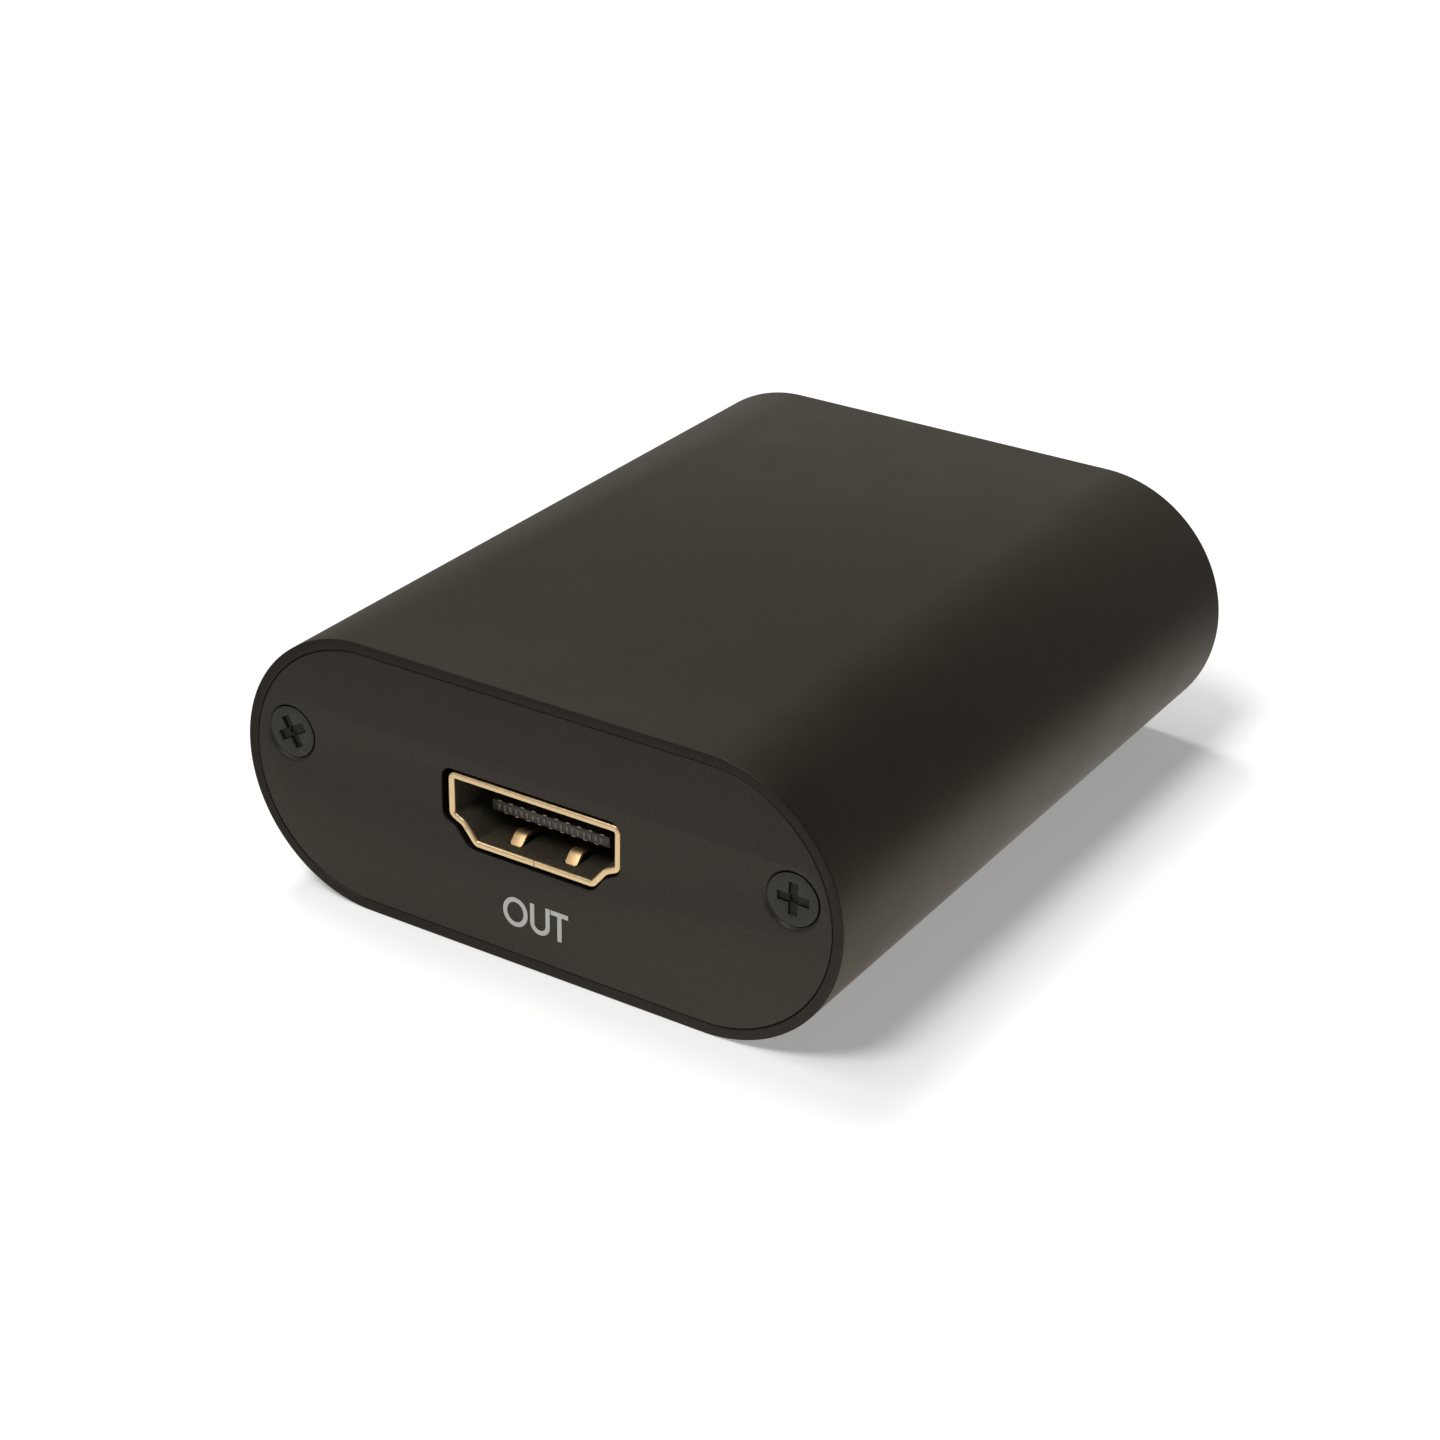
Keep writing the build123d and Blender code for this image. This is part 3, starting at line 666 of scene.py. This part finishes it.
def end_plate(name, sizes, screws, cutters):
    """An end plate at the front, with its countersunk screw holes and the given cutters taken out."""
    margin = 2 * (sizes.rim + sizes.plate_gap)
    face = front + sizes.plate_set
    back = face + sizes.plate_thickness
    plate = stadium(name, case_high.x - case_low.x - margin, case_high.z - margin, face, back)
    round_edges(plate, lambda e: flat_at(e, 1, face), sizes.plate_round, 4)
    # each countersink is a cone that starts a little before the face
    before, clear = 0.5 * MM, 0.15 * MM
    reach = screws.mouth + before
    for side in (-1, 1):
        x = side * screws.spread / 2
        sink = rod("sink", reach, face - before, face - before + reach, x, screws.height, 0.0, 96)
        hole = rod("hole", screws.shank + clear, front - PAST, back + PAST, x, screws.height)
        merge_solids(plate, [sink, hole], "DIFFERENCE")
    merge_solids(plate, cutters, "DIFFERENCE")
    inner = case_high.z / 2 - 2 * sizes.rim

    def of_hole(edge):
        return rim_at(edge, face) and abs(middle(edge).z - mid_z) < inner

    round_edges(plate, of_hole, sizes.edge_round, 3, merge=True)
    return plate


class CONVERTER_OT_plates(bpy.types.Operator):
    """Front and rear end plates"""

    bl_idname = "converter.plates"
    bl_label = "End plates"

    def execute(self, context):
        sizes = context.scene.converter_case
        screws = context.scene.converter_screws
        sockets = context.scene.converter_sockets
        near, far = front - PAST, front + 3 * MM
        growth = sockets.lip + sockets.hole_gap
        opening = d_block("opening", near, far, socket_z, growth)
        plate = end_plate("output_end_plate", sizes, screws, [opening])
        dress(close_up(plate), "plate", "plate_metal", "front_plate")
        # what stands on the board lies socket_x to the right of the middles of the plates' holes
        inlet_radius, lamp_radius = 3.6 * MM, 1.85 * MM
        opening = d_block("opening", near, far, socket_z, growth)
        inlet = rod("inlet_hole", inlet_radius, near, far, -jack_x + socket_x, jack_z, vertices=96)
        lamp = rod("lamp_hole", lamp_radius, near, far, -light_x + socket_x, light_z)
        plate = end_plate("input_end_plate", sizes, screws, [opening, inlet, lamp])
        plate.data.transform(Matrix.Rotation(math.pi, 4, "Z"))
        dress(close_up(plate), "plate", "plate_metal", "rear_plate")
        return {"FINISHED"}


class CONVERTER_OT_screws(bpy.types.Operator):
    """Countersunk plate screws with a cross recess"""

    bl_idname = "converter.screws"
    bl_label = "Plate screws"

    def execute(self, context):
        sizes = context.scene.converter_screws
        face = front + context.scene.converter_case.plate_set + sizes.sunk
        # the head's cone narrows by 45 degrees to the shank
        cone = sizes.head - sizes.shank
        narrow = sizes.shank / sizes.head
        screw = round_face("screw", 96, sizes.head, face, 0)
        into_edit(screw)
        push(cone)
        bpy.ops.transform.resize(value=(narrow, 1, narrow), center_override=(0, face, 0))
        push(sizes.reach - cone)
        outwards()
        round_edges(screw, lambda e: flat_at(e, 1, face + sizes.reach), 0.4 * MM, 2)

        # the recess narrows towards its floor, and its middle is a cone
        top, bottom = face - 0.2 * MM, face + sizes.depth
        arms = []
        for turned in (False, True):
            wide, thin = sizes.cross / 2, sizes.arm / 2
            arm = block("arm", (-wide, top, -thin), (wide, bottom, thin))
            into_edit(arm)
            pick("FACE", lambda f: f.normal.y > 0.9)
            bpy.ops.transform.resize(value=(0.88, 1, 0.84), center_override=(0, bottom, 0))
            nothing_selected()
            if turned:
                arm.data.transform(Matrix.Rotation(math.pi / 2, 4, "Y"))
            arms.append(arm)
        centre = rod("centre", 0.6 * MM, top, bottom + 0.15 * MM, 0, 0, 0.3 * MM, vertices=32)
        merge_solids(screw, [*arms, centre], "DIFFERENCE")
        round_edges(screw, lambda e: rim_at(e, face), 0.11 * MM, 4, merge=True)
        side = sizes.spread / 2
        for name, node, end_turn, turns in (
            ("output_end_screws", "front_screws", 0.0, (30, 0)),
            ("input_end_screws", "rear_screws", math.pi, (12, 50)),
        ):
            pair = [
                copy_of(screw, "one", (0, math.radians(-turn), 0), (x, 0, sizes.height))
                for turn, x in zip(turns, (-side, side))
            ]
            both = joined(name, pair)
            both.data.transform(Matrix.Rotation(end_turn, 4, "Z"))
            dress(close_up(both, 28), "screw", "screw_steel", node)

            def in_recess(facet, level=abs(face) - 0.05 * MM):
                spot = facet.center
                out = math.hypot(abs(spot.x) - side, spot.z - sizes.height)
                return out < sizes.cross / 2 and level - 0.7 * MM < abs(spot.y) < level

            # painted shade: the faces in the cross recess get the darker finish
            second_finish(both, "recess", in_recess)
        bpy.data.objects.remove(screw)
        return {"FINISHED"}


def spring_finger(name, x, side):
    """A spring finger of a shell, bent in to press on a plug; side is 1 above and -1 below."""
    width, root = 1.08 * MM, 0.2 * MM
    wall_z = socket_z + side * (OPENING_HALF + SHELL_WALL / 2) * MM
    # depth and drop in millimetres, from the root to the tip
    stations = (
        (6.0, 0.0),
        (4.2, -0.26),
        (3.1, -0.54),
        (2.5, -0.72),
        (2.2, -0.76),
        (2.0, -0.72),
        (1.84, -0.6),
        (1.2, 0.04),
    )
    depth = stations[0][0]
    bpy.ops.mesh.primitive_plane_add(size=1, location=(x, mouth + depth * MM, wall_z))
    finger = renamed(name, (width, root, 1))
    into_edit(finger)
    previous = Vector((0, mouth + depth * MM - root / 2, wall_z))
    pick("EDGE", lambda e: all(v.co.y < previous.y + 0.01 * MM for v in e.verts))
    for depth, drop in stations[1:]:
        here = Vector((0, mouth + depth * MM, wall_z + side * drop * MM))
        step = here - previous
        push(step.y, step.z)
        previous = here
    # the tip's two corners are round
    pick("VERT", lambda v: v.co.y < previous.y + 0.01 * MM)
    bpy.ops.mesh.bevel(offset=0.3 * MM, segments=4, affect="VERTICES")
    apply_modifier(finger, "SOLIDIFY", thickness=0.25 * MM, offset=0)
    turn = math.radians(50)
    apply_modifier(finger, "BEVEL", width=0.06 * MM, segments=3, limit_method="ANGLE", angle_limit=turn)
    return finger


def place_in_shell(face):
    """Where a face of a shell lies: its way out from the opening's middle, and how deep it is."""
    out = Vector((face.center.x - socket_x, 0, face.center.z - socket_z))
    return out, abs(mouth) - abs(face.center.y)


# the fingers stand within this of the opening's middle, and their tips end this deep
FINGERS_HALF, FINGERS_TOP, TIP_DEPTH = 5 * MM, 2.25 * MM, 2.5 * MM


def in_shaded_bore(face):
    """Whether a face of a shell gets the bore's darker finish: its walls behind the lip, where it is
    duller plating and painted shade, and a finger's foot, where it is painted shade alone.
    """
    out, deep = place_in_shell(face)
    wall = abs(out.x) > FINGERS_HALF or abs(out.z) > FINGERS_TOP
    foot = abs(out.x) < FINGERS_HALF and abs(out.z) < FINGERS_TOP + 0.05 * MM and deep > TIP_DEPTH
    return foot or wall and deep > 0.5 * MM and face.normal.dot(out) < 0


def on_spring(face):
    """Whether a face of a shell belongs to the tip of a spring finger."""
    out, deep = place_in_shell(face)
    among = abs(out.x) < FINGERS_HALF and abs(out.z) < FINGERS_TOP
    return among and 0.8 * MM < deep < TIP_DEPTH


class CONVERTER_OT_sockets(bpy.types.Operator):
    """Socket shells with their lips, seams and spring fingers, and the moulded blocks inside"""

    bl_idname = "converter.sockets"
    bl_label = "Video sockets"

    def execute(self, context):
        sizes = context.scene.converter_sockets
        back = mouth + sizes.depth
        shell = d_block("shell", mouth, back, socket_z, sizes.wall)
        lip = d_block("lip", mouth, mouth + sizes.lip_depth, socket_z, sizes.lip)
        merge_solids(shell, [lip], "UNION")
        bore = d_block("bore", mouth - PAST, back + PAST, socket_z)
        merge_solids(shell, [bore], "DIFFERENCE")

        # a window round each finger, and four legs through the board
        windows, fingers, legs = [], [], []
        finger_x, window_half, window_start, window_end = 2.425 * MM, 0.6 * MM, 1.1 * MM, 5.8 * MM
        for side_z in (-1, 1):
            for x in (-finger_x, finger_x):
                z = socket_z + side_z * (OPENING_HALF + SHELL_WALL / 2) * MM
                low = (x - window_half, mouth + window_start, z - sizes.wall)
                high = (x + window_half, mouth + window_end, z + sizes.wall)
                windows.append(block("window", low, high))
                fingers.append(spring_finger("finger", x, side_z))
        leg_x, leg_half, leg_length, leg_top = 7.175 * MM, 0.175 * MM, 1.5 * MM, 1.775 * MM
        for y in (mouth + 4.5 * MM, mouth + 9.9 * MM):
            for x in (-leg_x, leg_x):
                low = (x - leg_half, y - leg_length / 2, board_low.z - 0.7 * MM)
                high = (x + leg_half, y + leg_length / 2, socket_z + leg_top)
                legs.append(block("leg", low, high))
        merge_solids(shell, windows, "DIFFERENCE")

        # the strip of the shell meets itself in a seam at the bottom of the lip
        seam_half, seam_depth = 0.03 * MM, 0.14 * MM
        seam_low = (-seam_half, mouth - 0.2 * MM, socket_z - 3.0 * MM)
        seam_high = (seam_half, mouth + seam_depth, socket_z - 2.2 * MM)
        merge_solids(shell, [block("seam", seam_low, seam_high)], "DIFFERENCE")
        round_edges(shell, lambda e: rim_at(e, mouth), 0.2 * MM, 5, merge=True)
        into_edit(shell)
        bpy.ops.mesh.dissolve_degenerate(threshold=0.003 * MM)
        bpy.ops.mesh.delete_loose()
        nothing_selected()
        shell = joined("shell", [shell, *fingers, *legs])

        # the block fills the back of the shell, and its tongue has a slot for each contact tip
        block_front = mouth + 9.0 * MM
        insulator = d_block("insulator", block_front, back, socket_z, -0.03 * MM)
        tongue_y = mouth + sizes.tongue_front
        tongue_z = socket_z - sizes.tongue_drop
        half = sizes.tongue_height / 2
        tongue = block(
            "tongue",
            (-sizes.tongue / 2, tongue_y, tongue_z - half),
            (sizes.tongue / 2, block_front + 0.5 * MM, tongue_z + half),
        )
        round_edges(tongue, lambda e: flat_at(e, 1, tongue_y), 0.14 * MM, 2)
        merge_solids(insulator, [tongue], "UNION")

        # contact tips stand in the tongue's front edge, half a millimetre apart
        count, pitch, ahead = 19, 0.5 * MM, 0.05 * MM
        bpy.ops.mesh.primitive_cube_add(
            size=1,
            location=(-pitch * (count - 1) / 2, tongue_y - 0.01 * MM, tongue_z),
            scale=(0.2 * MM, 0.08 * MM, 0.5 * MM),
        )
        tips = renamed("contact_tips")
        round_edges(tips, lambda e: flat_at(e, 1, tongue_y - ahead), 0.03 * MM, 2)
        apply_modifier(
            tips,
            "ARRAY",
            count=count,
            use_relative_offset=False,
            use_constant_offset=True,
            constant_offset_displace=(pitch, 0, 0),
        )

        shift = (socket_x, 0, 0)
        for end, turn in (("output", 0.0), ("input", math.pi)):
            turned = (0, 0, turn)
            part = close_up(copy_of(shell, f"{end}_shell", turned, shift))
            dress(part, "gold", "gold_plate", f"{end}_socket_shell")
            # partly duller plating and partly painted shade inside the socket
            second_finish(part, "bore", in_shaded_bore)
            second_finish(part, "spring", on_spring)
            part = close_up(copy_of(insulator, f"{end}_insulator", turned, shift))
            dress(part, "insulator", "insulator_plastic", f"{end}_socket_insulator")
            part = close_up(copy_of(tips, f"{end}_contact_tips", turned, shift))
            dress(part, "tip", "contact_metal")
        for spare in (shell, insulator, tips):
            bpy.data.objects.remove(spare)
        return {"FINISHED"}


class CONVERTER_OT_inlet(bpy.types.Operator):
    """Power inlet with its centre pin"""

    bl_idname = "converter.inlet"
    bl_label = "Power inlet"

    def execute(self, context):
        nose = housing_high.y
        housing = block("inlet_housing", housing_low, housing_high)
        round_edges(housing, lambda e: abs(e.verts[0].co.y - e.verts[1].co.y) > 1 * MM, 1 * MM, 5)
        # the barrel's bore, the pin's hole behind it, and a slot for the contact strip beside it
        bore_radius, bore_depth = 3.15 * MM, 9.6 * MM
        bore = rod("bore", bore_radius, nose + PAST, nose - bore_depth, jack_x, jack_z, vertices=96)
        pin_hole = rod("pin_hole", 1.02 * MM, nose - 9 * MM, nose - 15 * MM, jack_x, jack_z)
        strip = block(
            "strip",
            (jack_x - 3.31 * MM, nose - 6.71 * MM, housing_low.z - PAST),
            (jack_x - 2.89 * MM, nose - 4.49 * MM, jack_z + 1.11 * MM),
        )
        merge_solids(housing, [bore, pin_hole, strip], "DIFFERENCE")
        round_edges(housing, lambda e: rim_at(e, nose), 0.25 * MM, 4, merge=True)
        dress(close_up(housing), "jack", "jack_plastic", "power_jack_housing")

        tip = pin_high.y
        pin = rod("inlet_pin", 1 * MM, pin_low.y, tip, jack_x, jack_z)
        round_edges(pin, lambda e: flat_at(e, 1, tip), 0.55 * MM, 6)
        split_half, split_depth = 0.12 * MM, 3 * MM
        split = block(
            "split",
            (jack_x - split_half, tip - split_depth, jack_z - 2 * MM),
            (jack_x + split_half, tip + PAST, jack_z + 2 * MM),
        )
        merge_solids(pin, [split], "DIFFERENCE")
        dress(close_up(pin), "tin", "tinned_metal", "power_jack_pin")
        return {"FINISHED"}


class CONVERTER_OT_light(bpy.types.Operator):
    """Status light with its dome and flange"""

    bl_idname = "converter.light"
    bl_label = "Status light"

    def execute(self, context):
        tip, foot, ledge = light_high.y, light_low.y, light_low.y + 1 * MM
        lamp = rod("status_lamp", 1.5 * MM, foot, tip, light_x, light_z, vertices=96)
        round_edges(lamp, lambda e: flat_at(e, 1, tip), 1.2 * MM, 10)
        flange = rod("flange", 1.9 * MM, foot, ledge, light_x, light_z, vertices=96)
        round_edges(flange, lambda e: flat_at(e, 1, ledge), 0.15 * MM, 3)
        merge_solids(lamp, [flange], "UNION")
        dress(close_up(lamp), "light", "light_plastic", "status_light")
        return {"FINISHED"}


# thickness of the printing ink
INK = 0.02 * MM


def ink_block(x, z, width, height):
    """A straight stroke of ink on the front plate's face."""
    return block("stroke", (x, front, z), (x + width, front + INK, z + height))


def ink_disc(x, z, width, height, past=0.0):
    """A round or oval patch of ink, which reaches past the ink's two faces if asked."""
    bpy.ops.mesh.primitive_cylinder_add(
        vertices=72,
        radius=0.5,
        depth=1,
        location=(x + width / 2, front + INK / 2, z + height / 2),
        rotation=(math.pi / 2, 0, 0),
    )
    return renamed("disc", (width, height, INK + 2 * past))


def print_legend(name, letters, turn):
    """Joins letters into a word and turns it to its end of the case."""
    word = joined(name, letters)
    word.data.transform(Matrix.Rotation(turn, 4, "Z"))
    return dress(close_up(word, 20), "legend", None)


class CONVERTER_OT_legends(bpy.types.Operator):
    """Printed words OUT and IN below the sockets"""

    bl_idname = "converter.legends"
    bl_label = "Legends"

    def execute(self, context):
        stroke, past = 0.37 * MM, 0.5 * MM
        low, tall = 3.22 * MM, 2.42 * MM
        wide_o, wide_u = 2.2 * MM, 1.74 * MM
        x = -2.42 * MM
        letter_o = ink_disc(x, low, wide_o, tall)
        hollow = ink_disc(x + stroke, low + stroke, wide_o - 2 * stroke, tall - 2 * stroke, past)
        merge_solids(letter_o, [hollow], "DIFFERENCE")
        x = 0.0
        letter_u = ink_disc(x, low, wide_u, wide_u)
        merge_solids(letter_u, [ink_block(x, low + wide_u / 2, wide_u, tall - wide_u / 2)], "UNION")
        inner = wide_u - 2 * stroke
        hollow = ink_disc(x + stroke, low + stroke, inner, inner, past)
        slot = block(
            "slot",
            (x + stroke, front - past, low + wide_u / 2),
            (x + stroke + inner, front + past, low + 2 * tall),
        )
        merge_solids(letter_u, [hollow, slot], "DIFFERENCE")
        x = 1.82 * MM
        letter_t = ink_block(x, low + tall - stroke, 1.54 * MM, stroke)
        merge_solids(letter_t, [ink_block(x + 0.59 * MM, low, stroke, tall - stroke / 2)], "UNION")
        print_legend("legend_out", [letter_o, letter_u, letter_t], 0.0)

        letter_i = ink_block(-1.25 * MM, low, stroke, tall)
        x, wide_n = -0.3 * MM, 1.9 * MM
        letter_n = ink_block(x, low, stroke, tall)
        slant = ink_block(x, low, 1.2 * stroke, tall)
        into_edit(slant)
        pick("VERT", lambda v: v.co.z < low + stroke)
        bpy.ops.transform.translate(value=(wide_n - 1.2 * stroke, 0, 0))
        nothing_selected()
        merge_solids(letter_n, [slant, ink_block(x + wide_n - stroke, low, stroke, tall)], "UNION")
        print_legend("legend_in", [letter_i, letter_n], math.pi)
        return {"FINISHED"}


class CONVERTER_OT_inner_parts(bpy.types.Operator):
    """Finishes of the circuit board and of what it carries"""

    bl_idname = "converter.inner_parts"
    bl_label = "Inner parts"

    def execute(self, context):
        for finish, nodes in finished_nodes.items():
            for node in nodes:
                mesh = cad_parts[node].data
                mesh.materials.clear()
                mesh.materials.append(materials[finish])
        return {"FINISHED"}


class CONVERTER_OT_stage(bpy.types.Operator):
    """Floor, light and the photograph's camera"""

    bl_idname = "converter.stage"
    bl_label = "Stage"

    def execute(self, context):
        bpy.ops.mesh.primitive_circle_add(vertices=64, radius=1.5, fill_type="NGON", location=(0, 0, 0))
        floor = renamed("floor")
        paper, tree, shader, place = new_material("matt_white_paper")
        shader.inputs["Roughness"].default_value = 0.9
        shader.inputs["Specular IOR Level"].default_value = 0.0
        shader.inputs["Emission Color"].default_value = (1, 1, 1, 1)
        # painted light: the paper glows a little; for the camera that stands for the room's light in
        # the shadow, and metal sees a painted reflection of white paper, which fades away from the box
        # and from a spot beside it
        ray = add_node(tree, "ShaderNodeLightPath").outputs
        away = add_node(tree, "ShaderNodeVectorMath", {0: place}, operation="LENGTH").outputs["Value"]
        spot = (35 * MM, -8 * MM, 0)
        beside = add_node(tree, "ShaderNodeVectorMath", {0: place}, operation="DISTANCE", at_1=spot)
        seen = combine(tree, "MAXIMUM", ray["Is Glossy Ray"], ray["Is Transmission Ray"])
        seen = combine(tree, "MULTIPLY", seen, ramp(tree, away, 40 * MM, 110 * MM, 1.0, 0.15))
        white = ramp(tree, beside.outputs["Value"], 18 * MM, 50 * MM, 1.0, 0.6)
        seen = combine(tree, "MULTIPLY", seen, white)
        terms = {0: ray["Is Camera Ray"], 2: seen}
        glow = add_node(tree, "ShaderNodeMath", terms, operation="MULTIPLY_ADD", at_1=0.3)
        tree.links.new(glow.outputs["Value"], shader.inputs["Emission Strength"])
        # painted reflection: what metal sees of the floor behind the box is greyer
        behind = add_node(tree, "ShaderNodeSeparateXYZ", {"Vector": place}).outputs["Y"]
        painted_dim_behind = combine(tree, "MULTIPLY", ramp(tree, behind, 15 * MM, 60 * MM), ray["Is Glossy Ray"])
        tone = ramp(tree, painted_dim_behind, 0.0, 1.0, context.scene.converter_colours.floor[0], 0.33)
        tree.links.new(tone, shader.inputs["Base Color"])
        floor.data.materials.append(paper)

        # soft lamps from the left: one behind the box, one beside it and one before it
        for name, way, strength, spread in (
            ("lamp_behind", (0.44, -0.2, -1.0), 0.68, 14),
            ("lamp_beside", (0.3, 0.15, -1.0), 0.5, 30),
            ("lamp_before", (0.12, 0.58, -1.0), 1.42, 18),
        ):
            bpy.ops.object.light_add(type="SUN", location=(0, 0, 0.5))
            lamp = bpy.context.active_object
            lamp.name = name
            lamp.rotation_euler = Vector(way).to_track_quat("-Z", "Y").to_euler()
            lamp.data.energy = strength
            lamp.data.angle = math.radians(spread)

        # the room, as metal shows it, is brightest to the left and darker overhead; it lights little
        world = bpy.data.worlds.new("soft_room")
        context.scene.world = world
        world.use_nodes = True
        tree = world.node_tree
        tree.nodes.clear()
        way = add_node(tree, "ShaderNodeTexCoord").outputs["Generated"]
        rise = add_node(tree, "ShaderNodeSeparateXYZ", {"Vector": way}).outputs["Z"]
        leftwards = (-0.8, 0.3, 0)
        left = add_node(tree, "ShaderNodeVectorMath", {0: way}, operation="DOT_PRODUCT", at_1=leftwards)
        ray = add_node(tree, "ShaderNodeLightPath").outputs
        side = ramp(tree, left.outputs["Value"], -0.2, 0.6, 0.45, 0.9)
        level = combine(tree, "MULTIPLY", side, ramp(tree, rise, 0.35, 0.7, 1.0, 0.7))
        share = ramp(tree, ray["Is Glossy Ray"], 0.0, 1.0, 0.2, 1.0)
        power = combine(tree, "MULTIPLY", level, share)
        # what is seen straight, or through something clear, is white
        for direct in ("Is Camera Ray", "Is Transmission Ray"):
            power = combine(tree, "MAXIMUM", power, ray[direct])
        sky = add_node(tree, "ShaderNodeBackground", {"Strength": power})
        sky.inputs["Color"].default_value = (1, 1, 1, 1)
        add_node(tree, "ShaderNodeOutputWorld", {"Surface": sky.outputs["Background"]})

        # camera fitted to the photograph: azimuth 32 and elevation 27 degrees, rolled by 1.2 degrees
        camera = bpy.data.objects.new("camera", bpy.data.cameras.new("camera"))
        context.scene.collection.objects.link(camera)
        back = Vector((0.4720, -0.7548, 0.4556)).normalized()
        right = (-back).cross(Vector((0, 0, 1))).normalized()
        up = right.cross(-back)
        roll = math.radians(1.16)
        right_rolled = right * math.cos(roll) + up * math.sin(roll)
        up_rolled = -right * math.sin(roll) + up * math.cos(roll)
        turn = Matrix((right_rolled, up_rolled, back)).transposed().to_4x4()
        camera.matrix_world = Matrix.Translation((0.1088, -0.17935, 0.1148)) @ turn
        camera.data.sensor_width = 36
        camera.data.lens = 73.8
        camera.data.clip_start = 0.01
        camera.data.clip_end = 20
        context.scene.camera = camera
        context.scene.view_settings.view_transform = "Standard"
        return {"FINISHED"}


class CONVERTER_PT_panel(bpy.types.Panel):
    """Sizes, colours and pieces of the converter"""

    bl_idname = "CONVERTER_PT_panel"
    bl_label = "Converter"
    bl_space_type = "VIEW_3D"
    bl_region_type = "UI"
    bl_category = "Converter"

    def draw(self, context):
        for name in groups:
            group = getattr(context.scene, name)
            box = self.layout.box()
            for key in group.__annotations__:
                box.prop(group, key)
        for piece in pieces:
            self.layout.operator(piece.bl_idname)


pieces = (
    CONVERTER_OT_case,
    CONVERTER_OT_plates,
    CONVERTER_OT_screws,
    CONVERTER_OT_sockets,
    CONVERTER_OT_inlet,
    CONVERTER_OT_light,
    CONVERTER_OT_legends,
    CONVERTER_OT_inner_parts,
    CONVERTER_OT_stage,
)
groups = {
    "converter_case": ConverterCaseSizes,
    "converter_screws": ConverterScrewSizes,
    "converter_sockets": ConverterSocketSizes,
    "converter_colours": ConverterColours,
}


def register():
    """Registers the sizes, the pieces and the panel."""
    for name, group in groups.items():
        bpy.utils.register_class(group)
        setattr(bpy.types.Scene, name, bpy.props.PointerProperty(type=group))
    for item in (*pieces, CONVERTER_PT_panel):
        bpy.utils.register_class(item)


def unregister():
    """Takes everything that register added away again."""
    for item in reversed((*pieces, CONVERTER_PT_panel)):
        bpy.utils.unregister_class(item)
    for name, group in groups.items():
        delattr(bpy.types.Scene, name)
        bpy.utils.unregister_class(group)


def main():
    """Builds the whole converter and its stage."""
    register()
    make_materials(bpy.context.scene.converter_colours)
    bpy.ops.converter.case()
    bpy.ops.converter.plates()
    bpy.ops.converter.screws()
    bpy.ops.converter.sockets()
    bpy.ops.converter.inlet()
    bpy.ops.converter.light()
    bpy.ops.converter.legends()
    bpy.ops.converter.inner_parts()
    bpy.ops.converter.stage()


if __name__ == "__main__":
    main()
